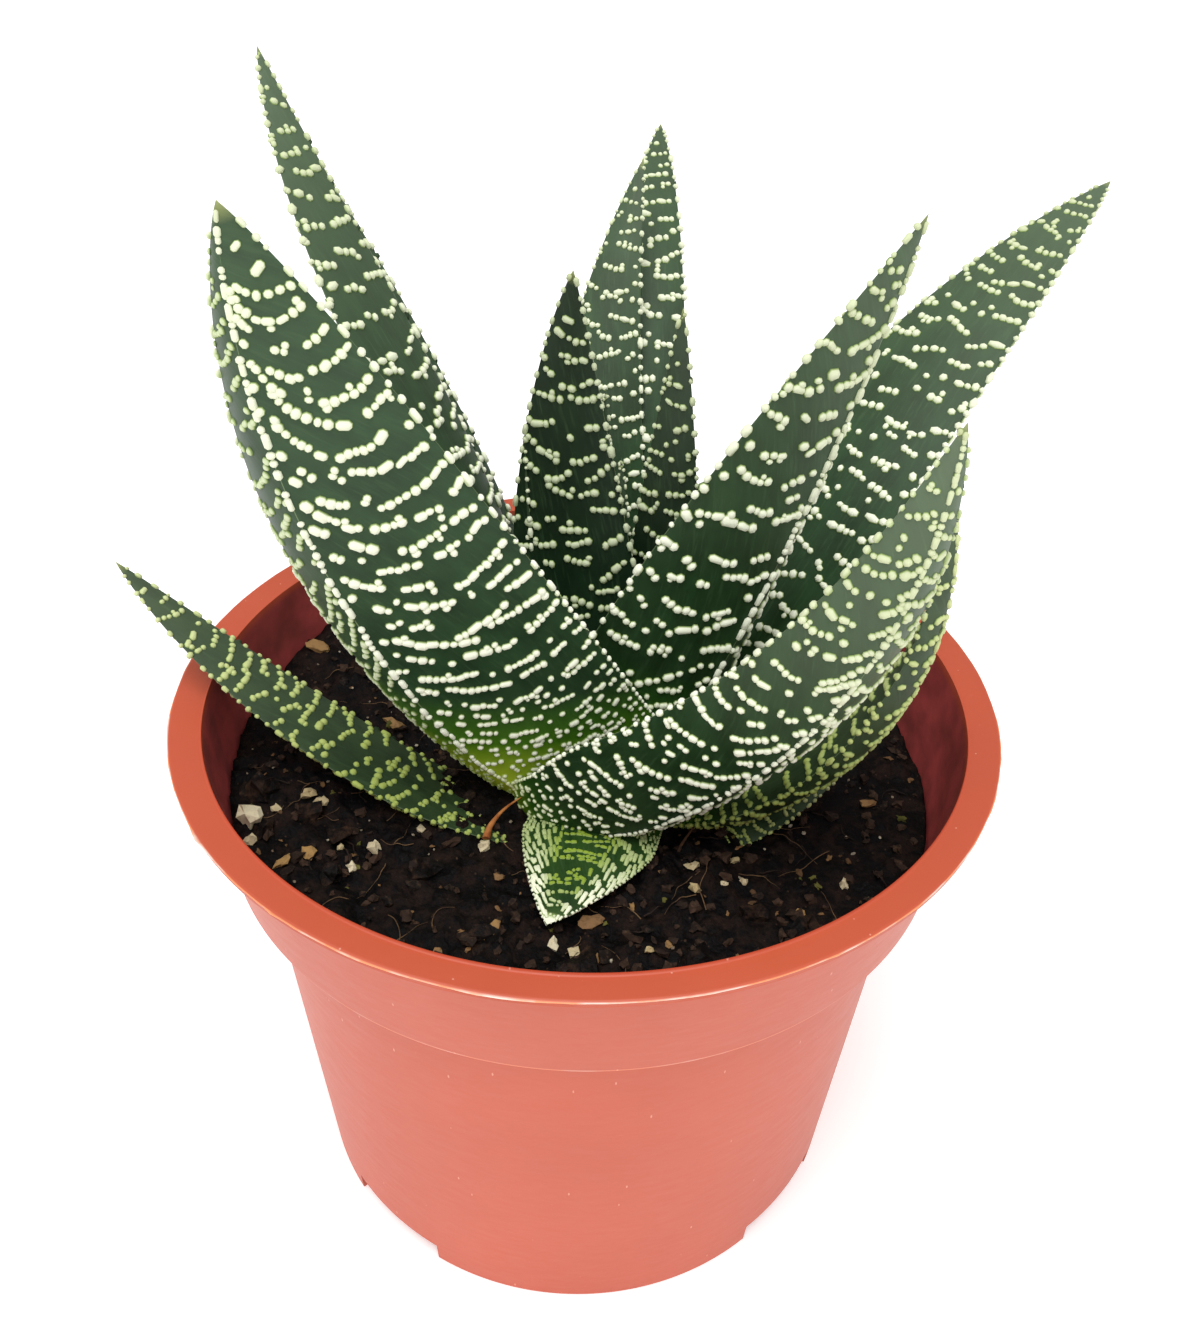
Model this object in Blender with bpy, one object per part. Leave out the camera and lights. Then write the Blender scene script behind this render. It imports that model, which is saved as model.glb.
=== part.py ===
"""A gasteraloe in a plastic nursery pot, filled with soil.

All sizes below are millimetres. The origin is the middle of the pot's base, where it stands,
and +Z is up. The leaves grow from a short stem in two loose ranks, left and right.
"""
import math
import random

import bmesh
import bpy
from mathutils import Matrix, Vector
from mathutils.bvhtree import BVHTree

MM = 0.001
GAP = 0.35

# Pot
POT_HEIGHT = 78.2
RIM_RADIUS = 52.5
RIM_THICK = 1.1
MOUTH_RADIUS = 48.7
COLLAR_DEPTH = 17.8
COLLAR_FOOT_RADIUS = 47.7
BODY_TOP_RADIUS = 44.2
FOOT_RADIUS = 40.6
WALL = 1.1
PAD_RADIUS = 21.0
CHANNEL_HEIGHT = 4.0
NOTCH_HEIGHT = 3.6
NOTCH_WIDTH = 16.5
NOTCH_TURN = 50.5
NOTCH_COUNT = 4
DRAIN_RADIUS = 3.0
DRAIN_CIRCLE = 31.0
DRAIN_COUNT = 8
POT_SEGMENTS = 48
SMOOTH_ANGLE = math.radians(35)

# Heights inside the pot
OUTER_SHOULDER = POT_HEIGHT - COLLAR_DEPTH
LEDGE = OUTER_SHOULDER + WALL
FLOOR_TOP = CHANNEL_HEIGHT + WALL

# Soil
SOIL_LEVEL = 65.0
SOIL_TILT = 3.6
SOIL_TILT_TURN = 140.0
SOIL_SEGMENTS = 32
SOIL_ROUGHNESS = 0.42
SOIL_RINGS = (42, 36.5, 31, 25.5, 20, 15, 10)
SOIL_EDGE = 46.5
SOIL_LOWEST = LEDGE + 1.2

# Pumice and bark lumps on the soil: x, y and width of each
PUMICE = (
    (-41.5, -11.0, 5.5), (-39.5, -18.0, 4.0), (-35.0, -14.5, 4.6), (-31.0, -17.5, 3.6),
    (-30.0, -24.0, 4.2), (-33.0, 15.0, 5.0), (-23.5, 4.5, 4.4), (-18.5, -22.5, 4.4),
    (-10.5, -33.0, 4.6), (1.0, -36.5, 5.6), (13.5, -33.0, 4.8), (21.0, -26.0, 4.2),
    (27.0, -28.0, 4.0), (38.0, 8.0, 4.6), (-8.0, 34.0, 5.0),
)
PUMICE_FLATNESS = 0.75
PUMICE_RAISED = 0.12

# Stem
STEM_RADIUS = 5.0
STEM_FOOT = 42.0
STEM_TOP = 70.5
STEM_AT = (3.5, 0.5)
STEM_SIDES = 12
STEM_RINGS = 8

# Tubercles, the white bumps in rows across the leaves
ROW_SPACING = 5.0
TUBERCLE = 0.75
SMOOTH_BASE = 0.06
FULL_TUBERCLES = 0.16

# Leaf cross-section, as shares of half its width: how full the inner and the outer faces are
INNER_FULLNESS = 0.12
OUTER_FULLNESS = 0.10

# How many rings skin the foot below a leaf's base
FOOT_RINGS = 2

TERRACOTTA = (0.56, 0.16, 0.10)
SOIL_BROWN = (0.030, 0.022, 0.016)
STEM_BROWN = (0.10, 0.09, 0.04)
GREEN = (0.030, 0.070, 0.040)
YOUNG_GREEN = (0.045, 0.105, 0.035)
OLD_GREEN = (0.070, 0.100, 0.030)

# One leaf to a row, from the innermost outwards. "at" is the middle of its base, "turn" its
# compass direction at base and tip, "rise" its angle above level at base and tip, "roll" how far
# it is turned about its own length, and "keel" where its keel lies between its two margins.
# "foot" is the pale part that runs on from the base to the stem or into the soil: its length,
# the turn and rise at its lower end, its width there as a share of the full width, and how far
# above the base the leaf reaches that full width.
LEAVES = (
    dict(name="leaf_bud_low", at=(4.3, 5.0, 71.0), turn=(98, 100), rise=(80, 82), length=34.5,
         width=5.0, taper=1.6, thick=0.6, roll=(0, 0), keel=0.0, green=YOUNG_GREEN),
    dict(name="leaf_bud_high", at=(0.5, 5.5, 71.0), turn=(85, 82), rise=(80, 82), length=43,
         width=6.0, taper=1.6, thick=0.6, roll=(0, 0), keel=0.0, green=YOUNG_GREEN),
    dict(name="leaf_centre_small", at=(9.0, 7.0, 71.0), turn=(70, 75), rise=(85, 89), length=53.5,
         width=12.5, taper=1.4, thick=0.5, roll=(0, 0), keel=0.0, foot=(5, 70, 80, 0.85, 12),
         green=GREEN),
    dict(name="leaf_centre", at=(0.5, -0.8, 70.5), turn=(109, 110), rise=(57, 103), length=60.5,
         width=20.0, taper=1.7, thick=0.5, roll=(24, 40), keel=0.3, green=GREEN),
    dict(name="leaf_right_inner", at=(5.2, 0.6, 71.1), turn=(4, 1), rise=(69, 64), length=72.5,
         width=22.8, taper=2.4, thick=0.54, roll=(78, 36), keel=-0.44, green=GREEN),
    dict(name="leaf_left_young", at=(-6.0, 10.5, 70.0), turn=(150, 150), rise=(84, 86), length=37,
         width=9.0, taper=1.6, thick=0.5, roll=(-30, -30), keel=0.0, foot=(5.5, 150, 84, 0.8, 12),
         green=GREEN),
    dict(name="leaf_centre_tall", at=(1.2, 10.0, 69.5), turn=(102, 68), rise=(60.5, 50), length=75.5,
         width=17.3, taper=1.8, thick=0.45, roll=(-1, -3), keel=0.1, foot=(5, 102, 62, 0.85, 12),
         green=GREEN),
    dict(name="leaf_back_tall", at=(4.0, 16.0, 66.5), turn=(84, 87), rise=(79, 16), length=93,
         width=16.5, taper=2.15, thick=0.45, roll=(0, -2), keel=0.1, foot=(5, 84, 85, 0.8, 12),
         green=GREEN),
    dict(name="leaf_left_tall", at=(-4.5, 5.0, 68.5), turn=(178, 115), rise=(75, 38), length=95,
         width=20.5, taper=1.5, thick=0.5, roll=(-10, -9), keel=-0.15, foot=(5, 178, 80, 0.8, 12),
         green=GREEN),
    dict(name="leaf_left_back", at=(-6.5, 15.0, 67.0), turn=(150, 130), rise=(68, 45), length=78,
         width=15.0, taper=1.8, thick=0.45, roll=(-10, -10), keel=0.0, foot=(5, 150, 75, 0.8, 12),
         green=GREEN),
    dict(name="leaf_right_back", at=(11.5, 5.0, 67.0), turn=(33, 45), rise=(59, 17), length=104,
         width=24.5, taper=2.0, thick=0.5, roll=(-7, -7), keel=0.5, foot=(6, 33, 60, 0.8, 12),
         green=GREEN),
    dict(name="leaf_front_left", at=(-1.5, -2.8, 68.5), turn=(210, 215), rise=(52.5, 75.5),
         length=83, width=28.6, taper=3.0, thick=0.54, roll=(-58, -49.5), keel=0.42,
         foot=(6, 215, 47, 0.85, 26), green=YOUNG_GREEN),
    dict(name="leaf_front_right", at=(-2.2, -12.4, 68.2), turn=(-14.5, -52), rise=(31, 82.5),
         length=75, width=21.0, taper=1.75, thick=0.55, roll=(63.5, 42), keel=-0.35,
         foot=(9.3, -55, 8, 0.11, 12.8), green=GREEN),
    dict(name="leaf_low_right", at=(12.5, -6.5, 65.5), turn=(-18, -34), rise=(22, 103), length=63,
         width=16.0, taper=1.7, thick=0.5, roll=(-7, 0), keel=0.4, foot=(6, -30, 15, 0.5, 12),
         green=GREEN),
    dict(name="leaf_low_left", at=(-10.6, -12.2, 63.3), turn=(169, 160), rise=(19, 42), length=59,
         width=13.0, taper=2.0, thick=0.5, roll=(-15, 10), keel=0.0, foot=(7, 185, 14, 0.3, 14),
         green=OLD_GREEN),
    dict(name="leaf_low_front_right", at=(19.0, -12.9, 62.9), turn=(28, 34), rise=(22, 4),
         length=20, width=6.6, taper=1.8, thick=0.5, roll=(-15, -15), keel=0.0,
         foot=(4, 60, 30, 0.3, 12), green=OLD_GREEN),
    dict(name="leaf_stump_front", at=(0.8, -17.0, 65.4), turn=(-107, -107), rise=(1, 0), length=15,
         width=17.6, taper=1.25, thick=0.6, roll=(0, 0), keel=0.1, foot=(6, -104, 8, 0.95, 12),
         green=OLD_GREEN),
)


def clear_scene():
    """Remove every object, so that the file holds only the model."""
    for item in list(bpy.data.objects):
        bpy.data.objects.remove(item, do_unlink=True)


def blend(pair, share):
    """Return the value at a share of the way between two values."""
    return pair[0] + share * (pair[1] - pair[0])


def on_circle(radius, i, count):
    """Return the x and y of one of the evenly spaced points on a circle."""
    angle = 2 * math.pi * i / count
    return radius * math.cos(angle), radius * math.sin(angle)


def make_material(name, colour, roughness):
    """Return a plain Principled material."""
    material = bpy.data.materials.new(name)
    material.use_nodes = True
    shader = material.node_tree.nodes["Principled BSDF"]
    shader.inputs["Base Color"].default_value = (*colour, 1.0)
    shader.inputs["Roughness"].default_value = roughness
    shader.inputs["Metallic"].default_value = 0.0
    return material


def add_object(name, mesh_data, material=None):
    """Turn a bmesh into a named object of triangles, with its faces pointing out."""
    mesh = bpy.data.meshes.new(name)
    bmesh.ops.triangulate(mesh_data, faces=mesh_data.faces)
    bmesh.ops.recalc_face_normals(mesh_data, faces=mesh_data.faces)
    if mesh_data.calc_volume(signed=True) < 0:
        bmesh.ops.reverse_faces(mesh_data, faces=mesh_data.faces)
    mesh_data.to_mesh(mesh)
    mesh_data.free()
    item = bpy.data.objects.new(name, mesh)
    bpy.context.collection.objects.link(item)
    if material:
        mesh.materials.append(material)
    return item


def combine(item, operation, others):
    """Cut or join other objects with this one, apply it, and remove them."""
    for other in others:
        modifier = item.modifiers.new(other.name, "BOOLEAN")
        modifier.operation = operation
        modifier.object = other
    bpy.context.view_layer.update()
    graph = bpy.context.evaluated_depsgraph_get()
    result = bpy.data.meshes.new_from_object(item.evaluated_get(graph))
    result.name = item.name
    item.modifiers.clear()
    item.data = result
    for other in others:
        bpy.data.objects.remove(other, do_unlink=True)


def keep_largest_body(item):
    """Drop the scraps that a cut leaves loose beside the main body."""
    work = bmesh.new()
    work.from_mesh(item.data)
    unseen = set(work.verts)
    bodies = []
    while unseen:
        front = [unseen.pop()]
        body = set(front)
        while front:
            near = {e.other_vert(v) for v in front for e in v.link_edges} & unseen
            unseen -= near
            body |= near
            front = list(near)
        bodies.append(body)
    largest = max(bodies, key=len)
    bmesh.ops.delete(work, geom=[v for v in work.verts if v not in largest], context="VERTS")
    work.to_mesh(item.data)
    work.free()


def loft(rings, tip=None):
    """Skin a stack of closed rings, capped at the base and closed at the tip or by a cap."""
    mesh_data = bmesh.new()
    layers = [[mesh_data.verts.new(Vector(p) * MM) for p in ring] for ring in rings]
    for low, high in zip(layers, layers[1:]):
        for i in range(len(low)):
            j = (i + 1) % len(low)
            mesh_data.faces.new((low[i], low[j], high[j], high[i]))
    mesh_data.faces.new(reversed(layers[0]))
    top = layers[-1]
    if tip is None:
        mesh_data.faces.new(top)
    else:
        point = mesh_data.verts.new(Vector(tip) * MM)
        for i in range(len(top)):
            mesh_data.faces.new((top[i], top[(i + 1) % len(top)], point))
    return mesh_data


def turned(profile, segments):
    """Spin a closed outline of (radius, height) points about the Z axis."""
    mesh_data = bmesh.new()
    layers = []
    for radius, height in profile:
        if radius == 0:
            layers.append([mesh_data.verts.new((0, 0, height * MM))])
            continue
        ring = [Vector((*on_circle(radius, i, segments), height)) for i in range(segments)]
        layers.append([mesh_data.verts.new(place * MM) for place in ring])
    for a, b in zip(layers, layers[1:]):
        for i in range(segments):
            j = (i + 1) % segments
            corners = [a[i % len(a)], a[j % len(a)], b[j % len(b)], b[i % len(b)]]
            unique = list(dict.fromkeys(corners))
            if len(unique) > 2:
                mesh_data.faces.new(unique)
    return mesh_data


def inner_wall_radius(height):
    """Return the inside radius of the pot at a height."""
    if height >= LEDGE:
        share = (height - LEDGE) / (POT_HEIGHT - LEDGE)
        return blend((COLLAR_FOOT_RADIUS - WALL, MOUTH_RADIUS), share)
    return blend((FOOT_RADIUS - WALL, BODY_TOP_RADIUS - WALL), height / LEDGE)


def pot_profile():
    """Return the outline of the pot's wall, from the middle of its underside round to its floor."""
    under_rim = POT_HEIGHT - RIM_THICK
    foot_inside = FOOT_RADIUS - WALL
    collar_top = MOUTH_RADIUS + WALL
    return (
        (0, 0), (PAD_RADIUS, 0), (PAD_RADIUS + 1.5, CHANNEL_HEIGHT),
        (foot_inside - 0.6, CHANNEL_HEIGHT), (foot_inside, 0), (FOOT_RADIUS, 0),
        (BODY_TOP_RADIUS, OUTER_SHOULDER - 1.2), (BODY_TOP_RADIUS + 0.6, OUTER_SHOULDER),
        (COLLAR_FOOT_RADIUS - 0.6, OUTER_SHOULDER), (COLLAR_FOOT_RADIUS, OUTER_SHOULDER + 0.6),
        (collar_top, under_rim - 0.5), (collar_top + 0.6, under_rim),
        (RIM_RADIUS - 0.3, under_rim), (RIM_RADIUS, under_rim + RIM_THICK / 2),
        (RIM_RADIUS - 0.4, POT_HEIGHT), (MOUTH_RADIUS + 0.4, POT_HEIGHT),
        (MOUTH_RADIUS, POT_HEIGHT - 0.5), (inner_wall_radius(LEDGE), LEDGE),
        (inner_wall_radius(OUTER_SHOULDER), LEDGE - 0.4),
        (inner_wall_radius(FLOOR_TOP), FLOOR_TOP), (PAD_RADIUS + 0.9, FLOOR_TOP),
        (PAD_RADIUS - 0.6, WALL), (0, WALL),
    )


def make_notch_cutter(turn):
    """Make a block that cuts one drain notch through the pot's foot."""
    size = Matrix.Diagonal((4 * (FOOT_RADIUS - DRAIN_CIRCLE) / 3, NOTCH_WIDTH, 2 * NOTCH_HEIGHT, 1))
    place = Matrix.Translation(Vector((FOOT_RADIUS, 0, 0)) * MM)
    notch = bmesh.new()
    bmesh.ops.create_cube(notch, size=MM, matrix=Matrix.Rotation(turn, 4, "Z") @ place @ size)
    return add_object("notch_cutter", notch)


def make_drain_cutter(turn):
    """Make a short post that cuts one drain hole through the pot's floor."""
    place = Matrix.Translation(Vector((DRAIN_CIRCLE, 0, CHANNEL_HEIGHT)) * MM)
    hole = bmesh.new()
    bmesh.ops.create_cone(hole, cap_ends=True, segments=10, radius1=DRAIN_RADIUS * MM,
                          radius2=DRAIN_RADIUS * MM, depth=4 * WALL * MM,
                          matrix=Matrix.Rotation(turn, 4, "Z") @ place)
    return add_object("drain_cutter", hole)


def make_pot():
    """Turn the thin-walled pot, then cut its drain holes and the notches in its foot."""
    material = make_material("terracotta_plastic", TERRACOTTA, 0.45)
    pot = add_object("pot", turned(pot_profile(), POT_SEGMENTS), material)
    first = math.radians(NOTCH_TURN)
    step = 2 * math.pi / DRAIN_COUNT
    cutters = [make_notch_cutter(first + i * 2 * math.pi / NOTCH_COUNT) for i in range(NOTCH_COUNT)]
    cutters += [make_drain_cutter(first + (i + 0.5) * step) for i in range(DRAIN_COUNT)]
    combine(pot, "DIFFERENCE", cutters)
    pot.data.set_sharp_from_angle(angle=SMOOTH_ANGLE)


def soil_height(radius, angle):
    """Return the height of the soil: banked up to the back left, with low waves."""
    bank = SOIL_TILT * (radius / SOIL_EDGE) * math.cos(angle - math.radians(SOIL_TILT_TURN))
    waves = math.sin(3 * angle + radius / 6) + 0.8 * math.sin(5 * angle - radius / 4 + 1)
    crumbs = 0.8 * math.sin(11 * angle + radius / 1.7) * math.cos(radius / 2.3 + 3 * angle)
    return max(SOIL_LEVEL + bank + SOIL_ROUGHNESS * (waves + crumbs), SOIL_LOWEST)


def soil_ring(radius):
    """Return one ring of the soil's top, drawn in towards the stem near the middle."""
    inward = max(0.0, min(1.0, (20 - radius) / 8))
    ring = []
    for i in range(SOIL_SEGMENTS):
        height = soil_height(radius, 2 * math.pi * i / SOIL_SEGMENTS)
        reach = inner_wall_radius(height) - GAP if radius == SOIL_EDGE else radius
        x, y = on_circle(reach, i, SOIL_SEGMENTS)
        ring.append((x + inward * STEM_AT[0], y + inward * STEM_AT[1], height))
    return ring


def flat_ring(radius, height, middle=(0, 0)):
    """Return one level ring of the soil's side, floor or stem hole."""
    spots = [on_circle(radius, i, SOIL_SEGMENTS) for i in range(SOIL_SEGMENTS)]
    return [(middle[0] + x, middle[1] + y, height) for x, y in spots]


def make_soil():
    """Fill the pot with soil, with a plain hole for the stem and lumps of pumice on top."""
    hole = STEM_RADIUS + GAP
    rings = [
        flat_ring(inner_wall_radius(FLOOR_TOP) - GAP, FLOOR_TOP + GAP),
        flat_ring(inner_wall_radius(OUTER_SHOULDER) - GAP, LEDGE + GAP),
        flat_ring(inner_wall_radius(LEDGE) - GAP, LEDGE + GAP + 0.1),
        *(soil_ring(radius) for radius in (SOIL_EDGE, *SOIL_RINGS, hole)),
        flat_ring(hole, STEM_FOOT - GAP, STEM_AT),
    ]
    soil = add_object("soil", loft(rings), make_material("potting_soil", SOIL_BROWN, 0.95))
    combine(soil, "UNION", make_pumice())
    return soil


def make_pumice():
    """Return the pumice and bark lumps that lie on the soil, clear of the plant."""
    rng = random.Random(7)
    lumps = []
    for x, y, width in PUMICE:
        lump = bmesh.new()
        bmesh.ops.create_icosphere(lump, subdivisions=1, radius=width / 2 * MM)
        for vertex in lump.verts:
            vertex.co *= rng.uniform(0.8, 1.15)
            vertex.co.z *= PUMICE_FLATNESS
        height = soil_height(math.hypot(x, y), math.atan2(y, x)) + width * PUMICE_RAISED
        bmesh.ops.translate(lump, verts=lump.verts, vec=Vector((x, y, height)) * MM)
        lumps.append(add_object("pumice", lump))
    return lumps


def make_stem():
    """Make the short stem that carries the leaves, ringed by old leaf scars."""
    rings = []
    for k in range(STEM_RINGS + 1):
        share = k / STEM_RINGS
        radius = STEM_RADIUS * (0.80 + 0.16 * share + (0.04 if k % 2 else 0.0))
        if k == STEM_RINGS:
            radius *= 0.6
        height = blend((STEM_FOOT, STEM_TOP), share)
        spots = [on_circle(radius, i, STEM_SIDES) for i in range(STEM_SIDES)]
        rings.append([(STEM_AT[0] + x, STEM_AT[1] + y, height) for x, y in spots])
    add_object("stem", loft(rings), make_material("stem_bark", STEM_BROWN, 0.8))


def heading(leaf, distance):
    """Return the leaf's turn, rise and roll at a distance along it, negative in its foot."""
    if distance < 0:
        length, turn, rise, _, _ = leaf["foot"]
        share = -distance / length
        angles = (blend((leaf["turn"][0], turn), share), blend((leaf["rise"][0], rise), share),
                  leaf["roll"][0])
    else:
        angles = (blend(leaf[key], distance / leaf["length"]) for key in ("turn", "rise", "roll"))
    return (math.radians(angle) for angle in angles)


def follow(leaf, reach, steps):
    """Follow the middle line from the base, forwards or back, to a distance along the leaf.

    Each frame returned is a distance, a place, and the directions along, across and inward."""
    place = Vector(leaf["at"])
    frames = []
    fine = 8
    for k in range(steps * fine + 1):
        distance = reach * k / (steps * fine)
        turn, rise, roll = heading(leaf, distance)
        level = Vector((math.cos(turn), math.sin(turn), 0))
        along = math.cos(rise) * level + math.sin(rise) * Vector((0, 0, 1))
        up = math.cos(rise) * Vector((0, 0, 1)) - math.sin(rise) * level
        side = along.cross(up)
        across = math.cos(roll) * side + math.sin(roll) * up
        inward = math.cos(roll) * up - math.sin(roll) * side
        if k:
            place = place + (along + last) / 2 * (reach / (steps * fine))
        last = along
        if k % fine == 0:
            frames.append((distance, place.copy(), along, across, inward))
    return frames


def leaf_frames(leaf, steps):
    """Return the frames of the whole leaf, from the lower end of its foot to its tip."""
    foot = []
    if "foot" in leaf:
        foot = follow(leaf, -leaf["foot"][0], FOOT_RINGS)[:0:-1]
    return foot + follow(leaf, leaf["length"], steps)


def leaf_section(leaf, half_width, sides):
    """Return the three-sided cross-section as (across, inward) points, margin to margin."""
    keel = leaf["keel"]
    depth = leaf["thick"]
    inner = sides // 3
    outer = sides - inner - 1
    first = max(1, round(outer * (keel + 1) / 2))
    points = []
    for i in range(inner + 1):
        across = 1 - 2 * i / inner
        points.append((across, INNER_FULLNESS * (1 - across * across)))
    for i in range(1, first + 1):
        share = i / first
        bulge = OUTER_FULLNESS * math.sin(math.pi * share)
        points.append((blend((-1, keel), share), -depth * share - bulge))
    for i in range(1, outer - first + 1):
        share = i / (outer - first + 1)
        bulge = OUTER_FULLNESS * math.sin(math.pi * share)
        points.append((blend((keel, 1), share), -depth * (1 - share) - bulge))
    return [(half_width * a, half_width * b) for a, b in points]


def grown(points, distance):
    """Push a closed outline outwards by a distance, with its sharp corners kept short."""
    result = []
    count = len(points)
    for i, point in enumerate(points):
        before = Vector(point) - Vector(points[i - 1])
        after = Vector(points[(i + 1) % count]) - Vector(point)
        normals = [Vector((edge.y, -edge.x)).normalized() for edge in (before, after)]
        middle = (normals[0] + normals[1]).normalized()
        stretch = min(1.8, 1 / max(0.2, middle.dot(normals[0])))
        result.append(Vector(point) + middle * distance * stretch)
    return result


def tubercle_height(leaf, distance):
    """Return how far the tubercles stand out: they fade into the smooth base."""
    rising = (distance / leaf["length"] - SMOOTH_BASE) / (FULL_TUBERCLES - SMOOTH_BASE)
    return TUBERCLE * max(0.0, min(1.0, rising))


def leaf_half_width(leaf, distance):
    """Return half the leaf's width at a distance along it, narrowed towards its foot."""
    share = max(0.0, distance / leaf["length"])
    full = leaf["width"] / 2 * (1 - share ** leaf["taper"]) ** 0.9
    if "foot" not in leaf:
        return full
    foot, _, _, neck, reach = leaf["foot"]
    short = max(0.0, (reach - distance) / (reach + foot))
    return full * (1 - (1 - neck) * short ** 2)


def leaf_sides(leaf):
    """Return how many points go round the leaf: more on the broad ones."""
    if leaf["width"] > 19:
        return 12
    return 10 if leaf["width"] > 10 else 7


def make_leaf(leaf):
    """Skin one leaf, with a row of tubercles raised on every other ring."""
    steps = 2 * max(3, round(leaf["length"] / ROW_SPACING))
    sides = leaf_sides(leaf)
    rings = []
    for k, (distance, place, along, across, inward) in enumerate(leaf_frames(leaf, steps)[:-1]):
        half_width = leaf_half_width(leaf, distance)
        smooth = leaf_section(leaf, half_width, sides)
        raised = grown(smooth, tubercle_height(leaf, distance) * min(1.0, half_width / 2.5))
        ring = []
        for i in range(sides):
            bump = k % 2 == 1 and (i + k // 2) % 2 == 0
            a, b = raised[i] if bump else smooth[i]
            ring.append(place + a * across + b * inward)
        rings.append(ring)
    tip = leaf_frames(leaf, steps)[-1][1]
    material = make_material(leaf["name"] + "_skin", leaf["green"], 0.4)
    return add_object(leaf["name"], loft(rings, tip), material)


def make_clearance(leaf):
    """Make a smooth body a little larger than the leaf, to cut its neighbours clear of it."""
    steps = 10
    sides = leaf_sides(leaf)
    frames = leaf_frames(leaf, steps)
    rings = []
    for k, (distance, place, along, across, inward) in enumerate(frames[:-1]):
        section = leaf_section(leaf, leaf_half_width(leaf, distance), sides)
        wide = grown(section, GAP + tubercle_height(leaf, distance + 0.04 * leaf["length"]))
        shift = along * (0 if k else -1.5)
        rings.append([place + shift + a * across + b * inward for a, b in wide])
    tip = frames[-1][1] + 2.5 * frames[-1][2]
    return add_object(leaf["name"] + "_clearance", loft(rings, tip))


def tree(item):
    """Return a search tree of the object's faces."""
    work = bmesh.new()
    work.from_mesh(item.data)
    result = BVHTree.FromBMesh(work)
    work.free()
    return result


def crossing(item, cutters):
    """Return copies of the cutters that reach into the object."""
    own = tree(item)
    near = []
    for cutter in cutters:
        if own.overlap(tree(cutter)):
            copy = bpy.data.objects.new(cutter.name + "_copy", cutter.data)
            bpy.context.collection.objects.link(copy)
            near.append(copy)
    return near


def make_stem_clearance():
    """Make a plain post a little larger than the stem."""
    post = bmesh.new()
    radius = (STEM_RADIUS + GAP) * MM
    place = Matrix.Translation(Vector((*STEM_AT, (STEM_FOOT + STEM_TOP) / 2)) * MM)
    bmesh.ops.create_cone(post, cap_ends=True, segments=24, radius1=radius, radius2=radius,
                          depth=(STEM_TOP - STEM_FOOT + 2 * GAP) * MM, matrix=place)
    return add_object("stem_clearance", post)


def main():
    """Build the pot, the soil, the stem and the leaves."""
    clear_scene()
    make_pot()
    soil = make_soil()
    make_stem()
    clearances = [make_stem_clearance()]
    for leaf in LEAVES:
        item = make_leaf(leaf)
        combine(item, "DIFFERENCE", crossing(item, clearances))
        keep_largest_body(item)
        item.data.set_sharp_from_angle(angle=SMOOTH_ANGLE)
        clearances.append(make_clearance(leaf))
    combine(soil, "DIFFERENCE", crossing(soil, clearances[1:]))
    keep_largest_body(soil)
    for item in clearances:
        bpy.data.objects.remove(item, do_unlink=True)


main()
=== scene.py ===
"""The looks of a gasteraloe in its nursery pot: plastic, potting soil, and warty leaves."""
import math
import random

import bpy
import numpy as np
from mathutils import Euler, Matrix, Vector, noise


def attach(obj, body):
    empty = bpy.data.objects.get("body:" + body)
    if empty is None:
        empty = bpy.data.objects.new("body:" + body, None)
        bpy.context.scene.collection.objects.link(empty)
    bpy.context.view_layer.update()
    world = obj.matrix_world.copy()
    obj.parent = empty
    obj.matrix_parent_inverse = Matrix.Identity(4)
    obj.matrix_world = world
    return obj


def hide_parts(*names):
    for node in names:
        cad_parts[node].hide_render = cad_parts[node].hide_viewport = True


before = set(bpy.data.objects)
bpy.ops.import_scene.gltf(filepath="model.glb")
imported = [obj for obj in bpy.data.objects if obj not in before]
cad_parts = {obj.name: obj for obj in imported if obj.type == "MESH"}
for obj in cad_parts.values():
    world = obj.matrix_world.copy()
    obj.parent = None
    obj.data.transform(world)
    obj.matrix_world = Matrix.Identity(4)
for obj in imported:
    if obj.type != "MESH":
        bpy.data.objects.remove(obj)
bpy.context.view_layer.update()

MM = 0.001


# Pot
# A thin-walled nursery pot, injection-moulded in terracotta-coloured polypropylene. It has a
# flared rim, a collar that steps out over the tapered body, drain holes and four foot notches.
POT_HEIGHT = 78.2
RIM_RADIUS = 52.5
RIM_THICK = 1.1
MOUTH_RADIUS = 48.7
COLLAR_DEPTH = 17.8
COLLAR_FOOT_RADIUS = 47.7
BODY_TOP_RADIUS = 44.2
FOOT_RADIUS = 40.6
WALL = 1.1
PAD_RADIUS = 21.0
CHANNEL_HEIGHT = 4.0
NOTCH_COUNT = 4
NOTCH_HEIGHT = 3.6
NOTCH_WIDTH = 16.5
NOTCH_REACH = 12.0
NOTCH_TURN = math.radians(50.5)
DRAIN_RADIUS = 3.0
DRAIN_CIRCLE = 31.0
DRAIN_COUNT = 8
POT_SIDES = 288
LIP_ROUNDING = 0.35
FLASH = 0.14
# Where the flash is torn or folded over: compass turn and half width in degrees, and how far
# it stands out there, as a share of the flash
FLASH_TEARS = ((-143, 2.2, 2.4), (-126, 1.2, 2.0), (-91, 5.0, 0.8), (-74, 1.6, 1.8),
               (-83, 3.0, 0.7), (-60, 0.9, 1.6), (24, 1.5, 1.5), (105, 1.2, 1.9))

OUTER_SHOULDER = POT_HEIGHT - COLLAR_DEPTH
LEDGE = OUTER_SHOULDER + WALL
FLOOR_TOP = CHANNEL_HEIGHT + WALL

# The sockets of a Mix node that blends colours, which share their names with other sockets
SHARE, FIRST, SECOND, BLEND = 0, 6, 7, 2


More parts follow.
